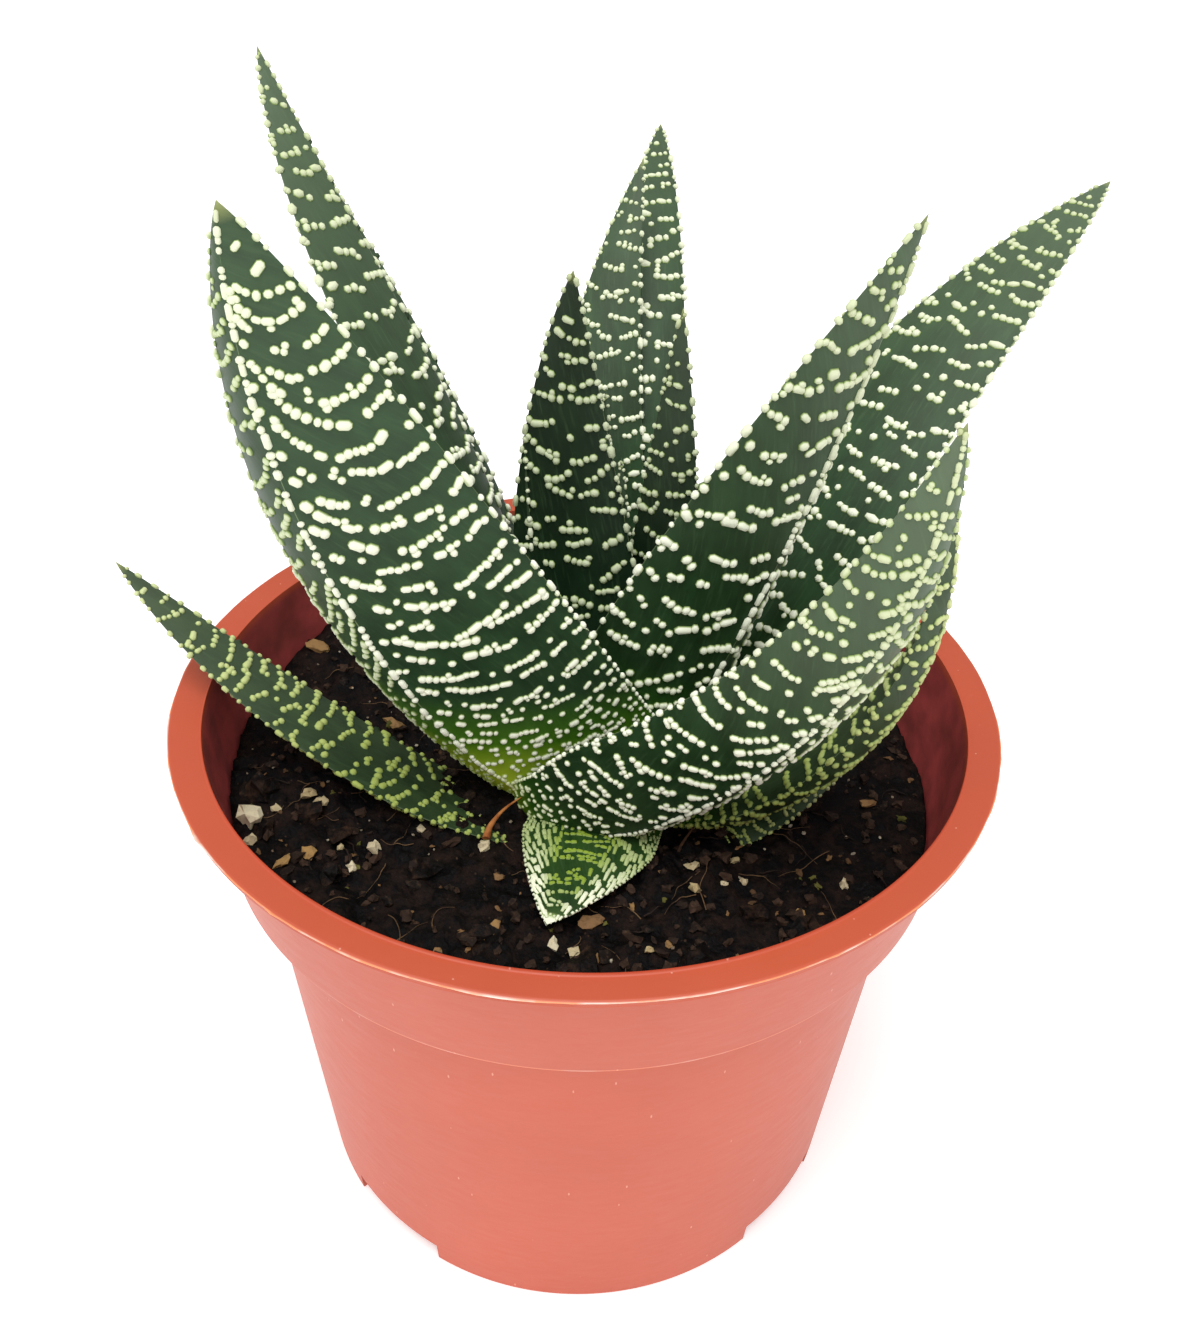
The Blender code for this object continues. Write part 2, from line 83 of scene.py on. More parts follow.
def linear(hex_colour):
    """Turn an sRGB hex colour into the linear RGBA that shaders take."""
    parts = [int(hex_colour[i:i + 2], 16) / 255 for i in (1, 3, 5)]
    return [c / 12.92 if c < 0.04045 else ((c + 0.055) / 1.055) ** 2.4 for c in parts] + [1.0]


def set_sockets(tree, node, sockets):
    """Give each socket of a node its number, its hex colour or another node's output."""
    for name, value in sockets.items():
        if isinstance(value, bpy.types.NodeSocket):
            tree.links.new(value, node.inputs[name])
        else:
            node.inputs[name].default_value = linear(value) if isinstance(value, str) else value


def add_node(tree, kind, output, sockets=None, **properties):
    """Add a shader node with its properties and sockets, and return the output asked for."""
    added = tree.nodes.new("ShaderNode" + kind)
    for name, value in properties.items():
        setattr(added, name, value)
    set_sockets(tree, added, sockets or {})
    return added.outputs[output]


def layered(tree, colour, *layers):
    """Lay colours over a first one, and return the outcome. A layer is given by what it follows,
    the values between which it builds up, how much of it there is at most, and its colour."""
    for follows, start, full, most, layer in layers:
        cover = add_node(tree, "MapRange", "Result", {"Value": follows, "From Min": start,
                                                      "From Max": full, "To Max": most})
        colour = add_node(tree, "Mix", BLEND, {SHARE: cover, FIRST: colour, SECOND: layer},
                          data_type="RGBA")
    return colour


def new_material(name):
    """Return a new material with its node tree and its Principled shader."""
    material = bpy.data.materials.new(name)
    material.use_nodes = True
    return material, material.node_tree, material.node_tree.nodes["Principled BSDF"]


def mark_points(mesh, name, values):
    """Give each point of a mesh a number that its material reads by name."""
    attribute = mesh.attributes.new(name, "FLOAT", "POINT")
    attribute.data.foreach_set("value", np.asarray(values, dtype=np.float32))


def deselect_everything():
    """Leave no object selected, so that the next operator acts on its own piece only."""
    for item in bpy.context.selected_objects:
        item.select_set(False)


def select_only(item):
    """Make one object the selected and active one."""
    deselect_everything()
    item.select_set(True)
    bpy.context.view_layer.objects.active = item


def inner_wall_radius(height):
    """Return the inside radius of the pot at a height."""
    if height >= LEDGE:
        share = (height - LEDGE) / (POT_HEIGHT - LEDGE)
        return COLLAR_FOOT_RADIUS - WALL + share * (MOUTH_RADIUS - COLLAR_FOOT_RADIUS + WALL)
    return FOOT_RADIUS - WALL + height / LEDGE * (BODY_TOP_RADIUS - FOOT_RADIUS)


def rounded(corner, start_angle, radius, steps=4):
    """Return the points of a quarter round, turning clockwise from an angle in degrees."""
    points = []
    for k in range(steps + 1):
        angle = math.radians(start_angle - 90 * k / steps)
        points.append((corner[0] + radius * math.cos(angle), corner[1] + radius * math.sin(angle)))
    return points


def mould_pot():
    """Extrude the pot's wall ring by ring from its underside, up and over the rim to its floor.

    The tenths of a millimetre between neighbouring rings are the mould's small radii."""
    under_rim = POT_HEIGHT - RIM_THICK
    collar_top = MOUTH_RADIUS + WALL
    outline = [
        (PAD_RADIUS + 1.5, CHANNEL_HEIGHT), (FOOT_RADIUS - WALL - 0.6, CHANNEL_HEIGHT),
        (FOOT_RADIUS - WALL, 0.2), (FOOT_RADIUS - WALL + 0.2, 0), (FOOT_RADIUS - 0.25, 0),
        (FOOT_RADIUS, 0.25), (BODY_TOP_RADIUS, OUTER_SHOULDER - 1.2),
        (BODY_TOP_RADIUS + 0.2, OUTER_SHOULDER - 0.4), (BODY_TOP_RADIUS + 0.9, OUTER_SHOULDER),
        (COLLAR_FOOT_RADIUS - 0.7, OUTER_SHOULDER), (COLLAR_FOOT_RADIUS - 0.2, OUTER_SHOULDER + 0.2),
        (COLLAR_FOOT_RADIUS, OUTER_SHOULDER + 0.7), (collar_top, under_rim - 0.6),
        (collar_top + 0.2, under_rim - 0.15), (collar_top + 0.7, under_rim),
        (RIM_RADIUS - 0.25, under_rim), (RIM_RADIUS, under_rim + 0.25),
        (RIM_RADIUS, POT_HEIGHT - 0.36), (RIM_RADIUS + FLASH, POT_HEIGHT - 0.22),
        (RIM_RADIUS - 0.04, POT_HEIGHT - 0.08), (RIM_RADIUS - 0.3, POT_HEIGHT),
        *rounded((MOUTH_RADIUS + LIP_ROUNDING, POT_HEIGHT - LIP_ROUNDING), 90, -LIP_ROUNDING),
        (inner_wall_radius(POT_HEIGHT - 1.6), POT_HEIGHT - 1.6),
        (inner_wall_radius(LEDGE + 0.5), LEDGE + 0.5), (inner_wall_radius(LEDGE) - 0.3, LEDGE + 0.05),
        (inner_wall_radius(LEDGE - 0.1) + 0.3, LEDGE - 0.05),
        (inner_wall_radius(LEDGE - 0.6), LEDGE - 0.6),
        (inner_wall_radius(FLOOR_TOP), FLOOR_TOP), (PAD_RADIUS + 0.9, FLOOR_TOP),
        (PAD_RADIUS - 0.6, WALL),
    ]
    deselect_everything()
    bpy.ops.mesh.primitive_circle_add(vertices=POT_SIDES, radius=PAD_RADIUS * MM, fill_type="NGON")
    pot = bpy.context.object
    pot.name = "moulded_pot"
    bpy.ops.object.mode_set(mode="EDIT")
    radius, height = PAD_RADIUS, 0.0
    for next_radius, next_height in outline:
        bpy.ops.mesh.extrude_region_move(
            TRANSFORM_OT_translate={"value": (0, 0, (next_height - height) * MM)})
        grow = next_radius / radius
        bpy.ops.transform.resize(value=(grow, grow, 1), center_override=(0, 0, next_height * MM))
        radius, height = next_radius, next_height
    bpy.ops.mesh.select_all(action="SELECT")
    bpy.ops.mesh.normals_make_consistent(inside=False)
    bpy.ops.object.mode_set(mode="OBJECT")
    return pot


def ragged_flash(pot):
    """Vary the thin fin of flash that the mould's parting line leaves round the rim."""
    for vertex in pot.data.vertices:
        radius = math.hypot(vertex.co.x, vertex.co.y) / MM
        if radius > RIM_RADIUS + FLASH / 2:
            turn = math.degrees(math.atan2(vertex.co.y, vertex.co.x))
            torn = 1 + noise.noise(vertex.co * 120) + 0.6 * noise.noise(vertex.co * 420)
            for at, half_width, stands_out in FLASH_TEARS:
                near = max(0.0, 1 - abs(turn - at) / half_width)
                torn += stands_out * near * (0.6 + 0.8 * noise.noise(vertex.co * 900))
            wanted = RIM_RADIUS + FLASH * max(torn, 0.1)
            vertex.co.x *= wanted / radius
            vertex.co.y *= wanted / radius


def pierce(pot, cutters):
    """Cut the given blocks and posts out of the pot, and remove them."""
    for cutter in cutters:
        cut = pot.modifiers.new(cutter.name, "BOOLEAN")
        cut.operation = "DIFFERENCE"
        cut.object = cutter
        bpy.context.view_layer.objects.active = pot
        bpy.ops.object.modifier_apply(modifier=cut.name)
        bpy.data.objects.remove(cutter, do_unlink=True)


def foot_notches():
    """Return the blocks that leave the drain notches in the pot's foot."""
    blocks = []
    for i in range(NOTCH_COUNT):
        turn = NOTCH_TURN + i * 2 * math.pi / NOTCH_COUNT
        place = (FOOT_RADIUS * math.cos(turn) * MM, FOOT_RADIUS * math.sin(turn) * MM, 0)
        deselect_everything()
        bpy.ops.mesh.primitive_cube_add(size=MM, location=place, rotation=(0, 0, turn),
                                        scale=(NOTCH_REACH, NOTCH_WIDTH, 2 * NOTCH_HEIGHT))
        blocks.append(bpy.context.object)
    return blocks


def drain_holes():
    """Return the posts that leave the drain holes in the pot's floor."""
    posts = []
    for i in range(DRAIN_COUNT):
        turn = NOTCH_TURN + (i + 0.5) * 2 * math.pi / DRAIN_COUNT
        place = (DRAIN_CIRCLE * math.cos(turn) * MM, DRAIN_CIRCLE * math.sin(turn) * MM,
                 CHANNEL_HEIGHT * MM)
        deselect_everything()
        bpy.ops.mesh.primitive_cylinder_add(vertices=32, radius=DRAIN_RADIUS * MM,
                                            depth=4 * WALL * MM, location=place)
        posts.append(bpy.context.object)
    return posts


def mark_painted_shade_and_highlights(pot):
    """Mark the inner wall for painted shade, and the flash and collar foot for painted highlights."""
    inside, thin = [], []
    for vertex in pot.data.vertices:
        radius = math.hypot(vertex.co.x, vertex.co.y) / MM
        height = vertex.co.z / MM
        wall = inner_wall_radius(height)
        # Painted shade: the whole inner wall is marked to be darkened
        inner = FLOOR_TOP - 0.1 < height < POT_HEIGHT - 1 and radius < wall + 0.4
        inside.append(1.0 if inner else 0.0)
        # Painted highlight: the flash, and at less strength the collar's foot, are marked to be
        # painted bright
        flash = radius > RIM_RADIUS + 0.02
        corner = abs(radius - COLLAR_FOOT_RADIUS + 0.2) < 0.1 and height < OUTER_SHOULDER + 0.3
        thin.append(1.0 if flash else 0.4 if corner else 0.0)
    mark_points(pot.data, "painted_shade_inside", inside)
    mark_points(pot.data, "painted_edge_highlight", thin)


def terracotta_polypropylene():
    """Return the pot's plastic: satin, a little uneven in colour, with pale scuffs and dust, painted
    shade on the inner wall, and painted highlights, orange to white, on the thin flash and fainter
    on the collar's foot."""
    material, tree, shader = new_material("moulded_terracotta_polypropylene")
    place = add_node(tree, "TexCoord", "Object")
    clouds = add_node(tree, "TexNoise", "Fac", {"Vector": place, "Scale": 45.0, "Detail": 3.0})
    # Rubs that run round the pot, 4 mm apart and a fifth as tall
    stretched = add_node(tree, "Mapping", "Vector", {"Vector": place, "Scale": (1.0, 1.0, 5.0)})
    rubs = add_node(tree, "TexNoise", "Fac", {"Vector": stretched, "Scale": 240.0, "Detail": 4.0,
                                              "Roughness": 0.7})
    # Nicks and grains of dust 0.2 mm wide and up to 0.6 mm tall, one to each 7 mm or so
    upright = add_node(tree, "Mapping", "Vector", {"Vector": place, "Scale": (1.0, 1.0, 0.35),
                                                   "Rotation": (0.3, 0.2, 0.0)})
    dust = add_node(tree, "TexVoronoi", "Distance", {"Vector": upright, "Scale": 400.0})
    # Patches about 5 mm across, which mottle the painted shade inside and the painted highlight on
    # the flash
    patchiness = add_node(tree, "TexNoise", "Fac", {"Vector": place, "Scale": 190.0, "Detail": 4.0})
    inner_shade = add_node(tree, "Attribute", "Fac", attribute_name="painted_shade_inside")
    thin = add_node(tree, "Attribute", "Fac", attribute_name="painted_edge_highlight")
    # Painted shade on the inner wall: a mottled dark maroon
    inner_shade_colour = layered(tree, "#B04846", (patchiness, 0.35, 0.7, 1.0, "#7C3432"))
    # Painted highlight on the flash: bright orange, near white in patches
    flash = layered(tree, "#FFA470", (patchiness, 0.46, 0.6, 1.0, "#FFE8D8"))
    colour = layered(tree, "#C45536", (clouds, 0.0, 1.0, 1.0, "#B74B2C"),
                     (rubs, 0.66, 0.85, 0.22, "#E3A48F"), (dust, 0.055, 0.03, 0.4, "#F4C8B4"),
                     (inner_shade, 0.0, 1.0, 1.0, inner_shade_colour), (thin, 0.0, 1.0, 1.0, flash))
    satin = add_node(tree, "MapRange", "Result", {"Value": rubs, "To Min": 0.36, "To Max": 0.56})
    orange_peel = add_node(tree, "TexNoise", "Fac", {"Vector": place, "Scale": 1400.0,
                                                     "Detail": 2.0})
    bump = add_node(tree, "Bump", "Normal", {"Height": orange_peel, "Strength": 0.12,
                                             "Distance": 0.1 * MM})
    set_sockets(tree, shader, {"Base Color": colour, "Roughness": satin, "Normal": bump,
                               "IOR": 1.49})
    return material


pot = mould_pot()
ragged_flash(pot)
pierce(pot, foot_notches() + drain_holes())
mark_painted_shade_and_highlights(pot)
select_only(pot)
bpy.ops.object.shade_smooth_by_angle(angle=math.radians(40))
pot.data.materials.append(terracotta_polypropylene())
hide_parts("pot")
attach(pot, "root")


# Soil
# Damp peat potting mix, banked up to the back left. Its top is a crust of crumbs and short
# fibres, and it fills the pot down to the drain holes.
SOIL_LEVEL = 65.0
SOIL_TILT = 3.6
SOIL_TILT_TURN = math.radians(140)
SOIL_ROUGHNESS = 0.42
SOIL_EDGE = 46.5
SOIL_LOWEST = LEDGE + 1.2
SOIL_GAP = 0.35
UNDER_ROSETTE = 20.0
STEM_RADIUS = 5.0
STEM_FOOT = 42.0
STEM_AT = (3.5, 0.5)
CRUMB_HEIGHT = 1.1


def soil_height(radius, angle):
    """Return the height of the soil: banked up to the back left, with low waves."""
    bank = SOIL_TILT * (radius / SOIL_EDGE) * math.cos(angle - SOIL_TILT_TURN)
    waves = math.sin(3 * angle + radius / 6) + 0.8 * math.sin(5 * angle - radius / 4 + 1)
    crumbs = 0.8 * math.sin(11 * angle + radius / 1.7) * math.cos(radius / 2.3 + 3 * angle)
    return max(SOIL_LEVEL + bank + SOIL_ROUGHNESS * (waves + crumbs), SOIL_LOWEST)


def crumb_relief(x, y):
    """Return how far the clods and crumbs of the peat stand above or below the soil's level."""
    place = Vector((x, y, 0.0))
    clods = noise.fractal(place / 3.4, 0.5, 2.3, 5)
    lumps = 0.5 - noise.voronoi(place / 2.3)[0][0]
    grains = 0.5 - noise.voronoi(place / 0.9)[0][0]
    return CRUMB_HEIGHT * (0.7 * clods + 0.7 * lumps + 0.35 * grains)


def soil_top(x, y):
    """Return the height of the soil's surface at a place, clods and all."""
    return max(soil_height(math.hypot(x, y), math.atan2(y, x)) + crumb_relief(x, y), SOIL_LOWEST)


def new_piece(name, points, faces):
    """Return a new mesh object from points in metres, as the only one that is selected."""
    mesh = bpy.data.meshes.new(name)
    mesh.from_pydata(points, [], faces)
    item = bpy.data.objects.new(name, mesh)
    bpy.context.collection.objects.link(item)
    select_only(item)
    return item


def face_outwards():
    """Turn all the faces of the selected object outwards, and smooth them."""
    bpy.ops.object.mode_set(mode="EDIT")
    bpy.ops.mesh.select_all(action="SELECT")
    bpy.ops.mesh.normals_make_consistent(inside=False)
    bpy.ops.object.mode_set(mode="OBJECT")
    bpy.ops.object.shade_smooth()


def closed_rings(name, rings):
    """Skin a stack of closed rings of points, in millimetres, into a capped mesh object."""
    count = len(rings[0])
    faces = []
    for layer in range(len(rings) - 1):
        low, high = layer * count, (layer + 1) * count
        for i in range(count):
            j = (i + 1) % count
            faces.append((low + i, low + j, high + j, high + i))
    faces.append(tuple(reversed(range(count))))
    faces.append(tuple(range((len(rings) - 1) * count, len(rings) * count)))
    item = new_piece(name, [Vector(p) * MM for ring in rings for p in ring], faces)
    face_outwards()
    return item


def fill_with_soil(sides=440, spacing=0.5):
    """Fill the pot with soil: a floor, a side that follows the wall, and a crumbly top."""
    turns = [2 * math.pi * i / sides for i in range(sides)]

    def level_ring(radius, height, middle=(0, 0)):
        return [(middle[0] + radius * math.cos(a), middle[1] + radius * math.sin(a), height)
                for a in turns]

    rings = [
        level_ring(inner_wall_radius(FLOOR_TOP) - SOIL_GAP, FLOOR_TOP + SOIL_GAP),
        level_ring(inner_wall_radius(OUTER_SHOULDER) - SOIL_GAP, LEDGE + SOIL_GAP),
        level_ring(inner_wall_radius(LEDGE) - SOIL_GAP, LEDGE + SOIL_GAP + 0.1),
    ]
    # Under the rosette the rings lie farther apart, and shift over to the stem that they close on
    hole = STEM_RADIUS + SOIL_GAP
    radius = SOIL_EDGE
    while radius > hole:
        inward = max(0.0, min(1.0, (UNDER_ROSETTE - radius) / 8))
        ring = []
        for a in turns:
            height = soil_height(radius, a)
            reach = inner_wall_radius(height) - SOIL_GAP if radius == SOIL_EDGE else radius
            x = reach * math.cos(a) + inward * STEM_AT[0]
            y = reach * math.sin(a) + inward * STEM_AT[1]
            ring.append((x, y, max(height + crumb_relief(x, y), SOIL_LOWEST)))
        rings.append(ring)
        radius -= spacing if radius > UNDER_ROSETTE else 2 * spacing
    rings.append(level_ring(hole, STEM_FOOT - SOIL_GAP, STEM_AT))
    return closed_rings("peat_soil", rings)


def damp_peat(name, dark, light, gloss):
    """Return peat: black-brown, matt and grainy, with a few paler specks of fibre in it."""
    material, tree, shader = new_material(name)
    place = add_node(tree, "TexCoord", "Object")
    patches = add_node(tree, "TexNoise", "Fac", {"Vector": place, "Scale": 300.0, "Detail": 6.0,
                                                 "Roughness": 0.75})
    # Specks 0.2 mm across, one to each 1.5 mm or so
    grit = add_node(tree, "TexVoronoi", "Distance", {"Vector": place, "Scale": 650.0})
    colour = layered(tree, dark, (patches, 0.47, 0.74, 1.0, light),
                     (grit, 0.11, 0.06, 0.35, "#5C4433"))
    matt = add_node(tree, "MapRange", "Result", {"Value": patches, "From Min": 0.3,
                                                 "From Max": 0.7, "To Min": 0.5, "To Max": 0.9})
    grains = add_node(tree, "TexNoise", "Fac", {"Vector": place, "Scale": 1300.0, "Detail": 4.0})
    bump = add_node(tree, "Bump", "Normal", {"Height": grains, "Strength": 0.8,
                                             "Distance": 0.5 * MM})
    set_sockets(tree, shader, {"Base Color": colour, "Roughness": matt, "Normal": bump,
                               "Specular IOR Level": gloss})
    return material


soil = fill_with_soil()
soil.data.materials.append(damp_peat("damp_peat_mix", "#070505", "#2E201A", 0.1))
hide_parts("soil")
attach(soil, "root")


# Litter on the soil
# What lies loose on the peat: dark crumbs, cream pumice, tan bark, rotted wood, threads of root
# and fibre, a few moss flecks, the dry husk of an old leaf, and a dry stalk.

# Where the larger lumps lie: x, y and width in millimetres
PUMICE = (
    (-41.6, -16.9, 3.0), (-40.6, -20.2, 1.8), (-38.8, -14.3, 1.2), (-35.5, -11.3, 1.7),
    (-33.7, -12.6, 1.8), (-25.7, -19.0, 1.7), (-27.9, -22.5, 1.3), (-20.4, -16.2, 1.2),
    (-12.3, -17.4, 1.7), (-2.7, -32.3, 1.6), (-0.2, -33.7, 1.8), (14.0, -19.1, 1.5),
    (14.0, -23.6, 1.5), (19.4, -17.3, 1.3), (17.7, -22.1, 0.9), (20.2, -21.3, 1.1),
    (32.8, -20.8, 1.2), (-29.8, -19.6, 0.9), (8.3, -33.0, 1.0), (36.0, 12.0, 2.2),
    (24.0, 30.0, 1.8), (2.0, 39.0, 2.6), (-22.0, 33.0, 1.6), (-35.0, 22.0, 1.5),
    (30.0, 22.0, 1.2), (-12.0, 38.0, 1.3), (12.0, 34.0, 1.4),
)
BARK = (
    (1.4, -29.0, 3.2), (-9.9, -32.2, 2.4), (26.7, -26.2, 2.1), (6.4, -26.1, 1.3),
    (-10.0, -22.8, 1.5), (-40.2, 18.5, 2.8), (-26.6, 2.9, 2.6), (10.6, -32.0, 1.6),
    (-33.5, -21.0, 2.6), (-36.0, -23.0, 2.0), (34.0, 16.0, 2.6), (-28.0, 29.0, 2.4),
    (15.0, 38.0, 2.2), (38.0, -6.0, 2.0), (-16.0, -36.0, 1.8),
)
# Clods and bark lumps half sunk in the peat, where the solid soil has its lumps
CLODS = (
    (-41.5, -11.0, 5.5), (-39.5, -18.0, 4.0), (-35.0, -14.5, 4.6), (-31.0, -17.5, 3.6),
    (-30.0, -24.0, 4.2), (-33.0, 15.0, 5.0), (-23.5, 4.5, 4.4), (-18.5, -22.5, 4.4),
    (-10.5, -33.0, 4.6), (1.0, -36.5, 5.6), (13.5, -33.0, 4.8), (21.0, -26.0, 4.2),
    (27.0, -28.0, 4.0), (38.0, 8.0, 4.6), (-8.0, 34.0, 5.0),
)
LUMP_KINDS = 6
THREAD_STEPS = 7
THREAD_RISE = 0.12
# The dry husk and stalk: x, y, height and how thick it is there, as a share of its thickest
HUSK = ((-7.9, -11.7, 67.6, 0.12), (-9.6, -12.8, 67.1, 0.3), (-11.0, -14.4, 66.4, 0.45),
        (-11.9, -15.9, 65.7, 0.75), (-12.0, -17.0, 65.2, 1.0))
STALK = ((12.3, -16.4, 63.4, 1.0), (12.7, -15.8, 64.2, 0.9), (13.8, -14.4, 65.0, 0.6),
         (15.1, -12.8, 66.0, 0.5), (15.7, -11.5, 66.8, 0.3))


def spread_spots(rng, count, narrow, wide, inner=15.0):
    """Return random spots on the soil between the rosette and the pot's wall."""
    spots = []
    for _ in range(count):
        radius = math.sqrt(rng.uniform(inner ** 2, (SOIL_EDGE - 1) ** 2))
        turn = rng.uniform(-math.pi, math.pi)
        spots.append((radius * math.cos(turn), radius * math.sin(turn), rng.uniform(narrow, wide)))
    return spots


def lump_models(rng, dents):
    """Model a few lumps as dented ico spheres 1 across, and return their points and faces."""
    models = []
    for _ in range(LUMP_KINDS):
        deselect_everything()
        bpy.ops.mesh.primitive_ico_sphere_add(subdivisions=2, radius=0.5)
        ball = bpy.context.object
        offset = Vector([rng.uniform(0, 40) for _ in range(3)])
        for vertex in ball.data.vertices:
            vertex.co *= 1 + dents * noise.noise(vertex.co * 2.4 + offset)
        chipped = ball.modifiers.new("chipped", "DECIMATE")
        chipped.ratio = 0.5
        bpy.ops.object.modifier_apply(modifier=chipped.name)
        points = np.array([vertex.co for vertex in ball.data.vertices])
        models.append((points, [tuple(p.vertices) for p in ball.data.polygons]))
        bpy.data.objects.remove(ball, do_unlink=True)
    return models


def scatter(name, spots, material, dents=0.8, shape=(1.0, 0.75, 0.6), sunk=0.3, tilt=0.5):
    """Lay a turned and sized copy of a modelled lump on each spot, all as one piece.

    The shape is a lump's length, breadth and height as shares of its width."""
    rng = random.Random(name)
    models = lump_models(rng, dents)
    points, faces, tints = [], [], []
    for x, y, width in spots:
        shell, shell_faces = rng.choice(models)
        stretch = [share * rng.uniform(0.8, 1.2) * width for share in shape]
        turn = Euler((rng.uniform(-tilt, tilt), rng.uniform(-tilt, tilt), rng.uniform(0, 6.28)))
        rise = soil_top(x, y) + (0.5 - sunk) * stretch[2]
        placed = (shell * stretch) @ np.array(turn.to_matrix()).T + (x, y, rise)
        first = len(points)
        points.extend(placed.tolist())
        faces.extend(tuple(first + v for v in face) for face in shell_faces)
        tints.extend([rng.random()] * len(shell))
    lumps = new_piece(name, (np.array(points) * MM).tolist(), faces)
    mark_points(lumps.data, "tint", tints)
    lumps.data.materials.append(material)
    bpy.ops.object.shade_smooth_by_angle(angle=math.radians(32))
    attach(lumps, "root")


def lay_threads(name, threads, thickness, material, roundness=0):
    """Draw threads as round curves along (x, y, height, share of thickness) points, as one piece."""
    drawing = bpy.data.curves.new(name, "CURVE")
    drawing.dimensions = "3D"
    drawing.bevel_depth = thickness / 2 * MM
    drawing.bevel_resolution = roundness
    drawing.resolution_u = 3
    drawing.use_fill_caps = True
    for thread in threads:
        spline = drawing.splines.new("NURBS")
        spline.points.add(len(thread) - 1)
        spline.use_endpoint_u = True
        spline.order_u = 3
        for point, (x, y, z, share) in zip(spline.points, thread):
            point.co = (x * MM, y * MM, z * MM, 1)
            point.radius = share
    strands = bpy.data.objects.new(name, drawing)
    bpy.context.collection.objects.link(strands)
    select_only(strands)
    bpy.ops.object.convert(target="MESH")
    strands = bpy.context.object
    bpy.ops.object.shade_smooth()
    strands.data.materials.clear()
    strands.data.materials.append(material)
    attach(strands, "root")


def loose_threads(rng, count, short, long):
    """Return wandering threads that lie on the soil, now and then lift off it, and thin out."""
    threads = []
    for x, y, _ in spread_spots(rng, count, 0, 1):
        turn = rng.uniform(-math.pi, math.pi)
        step = rng.uniform(short, long) / THREAD_STEPS
        lift = rng.choice((0.0, 0.2, 0.9))
        thread = []
        for k in range(THREAD_STEPS + 1):
            share = k / THREAD_STEPS
            rise = THREAD_RISE + lift * math.sin(math.pi * share)
            thread.append((x, y, soil_top(x, y) + rise, 1 - 0.7 * share))
            turn += rng.uniform(-0.6, 0.6)
            if math.hypot(x, y) > SOIL_EDGE - 3:
                turn = math.atan2(-y, -x)
            x += step * math.cos(turn)
            y += step * math.sin(turn)
        threads.append(thread)
    return threads


def mineral_grain(name, colours, roughness):
    """Return the finish of loose grains: each its own shade, mottled, and rough all over."""
    material, tree, shader = new_material(name)
    place = add_node(tree, "TexCoord", "Object")
    tint = add_node(tree, "Attribute", "Fac", attribute_name="tint")
    pores = add_node(tree, "TexNoise", "Fac", {"Vector": place, "Scale": 1500.0, "Detail": 4.0,
                                               "Roughness": 0.7})
    colour = layered(tree, colours[0], (tint, 0.0, 1.0, 1.0, colours[1]),
                     (pores, 0.5, 0.8, 0.7, colours[2]))
    bump = add_node(tree, "Bump", "Normal", {"Height": pores, "Strength": 0.6,
                                             "Distance": 0.2 * MM})
    set_sockets(tree, shader, {"Base Color": colour, "Roughness": roughness, "Normal": bump,
                               "Specular IOR Level": 0.2})
    return material


def dry_fibre(name, pale, brown):
    """Return dry plant fibre: straw-coloured to brown along its length, and matt."""
    material, tree, shader = new_material(name)
    place = add_node(tree, "TexCoord", "Object")
    bands = add_node(tree, "TexNoise", "Fac", {"Vector": place, "Scale": 420.0, "Detail": 3.0})
    colour = layered(tree, pale, (bands, 0.35, 0.65, 1.0, brown))
    set_sockets(tree, shader, {"Base Color": colour, "Roughness": 0.75,
                               "Specular IOR Level": 0.25})
    return material


chance = random.Random("litter")
scatter("peat_clods", CLODS, damp_peat("peat_clod", "#0D0908", "#4A3426", 0.12), dents=1.0,
        shape=(1.0, 0.8, 0.55), sunk=0.5)
scatter("peat_crumbs", spread_spots(chance, 640, 0.5, 2.0, inner=17.5),
        mineral_grain("peat_crumb", ("#0B0807", "#3A291F", "#5A4230"), 0.8), dents=1.1)
scatter("pumice_grit", PUMICE, mineral_grain("pumice", ("#B39F74", "#DCD0B0", "#8A7350"), 0.85),
        dents=0.9, shape=(1.0, 0.85, 0.75), sunk=0.2)
scatter("fine_grit", spread_spots(chance, 150, 0.22, 0.6),
        mineral_grain("fine_pumice", ("#6E5C4A", "#B5AC98", "#5A4A3A"), 0.85), sunk=0.1)
scatter("bark_chips", BARK, mineral_grain("bark", ("#A88450", "#806040", "#4A3424"), 0.8),
        dents=0.8, shape=(1.0, 0.62, 0.4), sunk=0.2, tilt=0.35)
scatter("wood_bits", spread_spots(chance, 110, 0.4, 1.3),
        mineral_grain("rotted_wood", ("#4A3524", "#8E6A44", "#33241A"), 0.85), dents=1.2,
        shape=(1.0, 0.5, 0.35), sunk=0.15)
scatter("moss_flecks", spread_spots(chance, 46, 0.4, 1.1),
        mineral_grain("dry_moss", ("#4A4A1E", "#6E6A34", "#2E2C14"), 0.9), dents=1.3, sunk=0.1)
lay_threads("root_fibres", loose_threads(chance, 70, 3.0, 9.0), 0.16,
            dry_fibre("root_fibre", "#7A5E40", "#3A281C"))
lay_threads("peat_threads", loose_threads(chance, 60, 2.0, 5.0), 0.3,
            dry_fibre("peat_thread", "#2E2018", "#140E0B"))
lay_threads("dry_husk", [HUSK], 1.1, dry_fibre("dry_leaf_husk", "#D08A4A", "#8A4A22"), 2)
lay_threads("dry_stalk", [STALK], 0.5, dry_fibre("dry_stalk", "#6A4A30", "#3C2618"), 2)


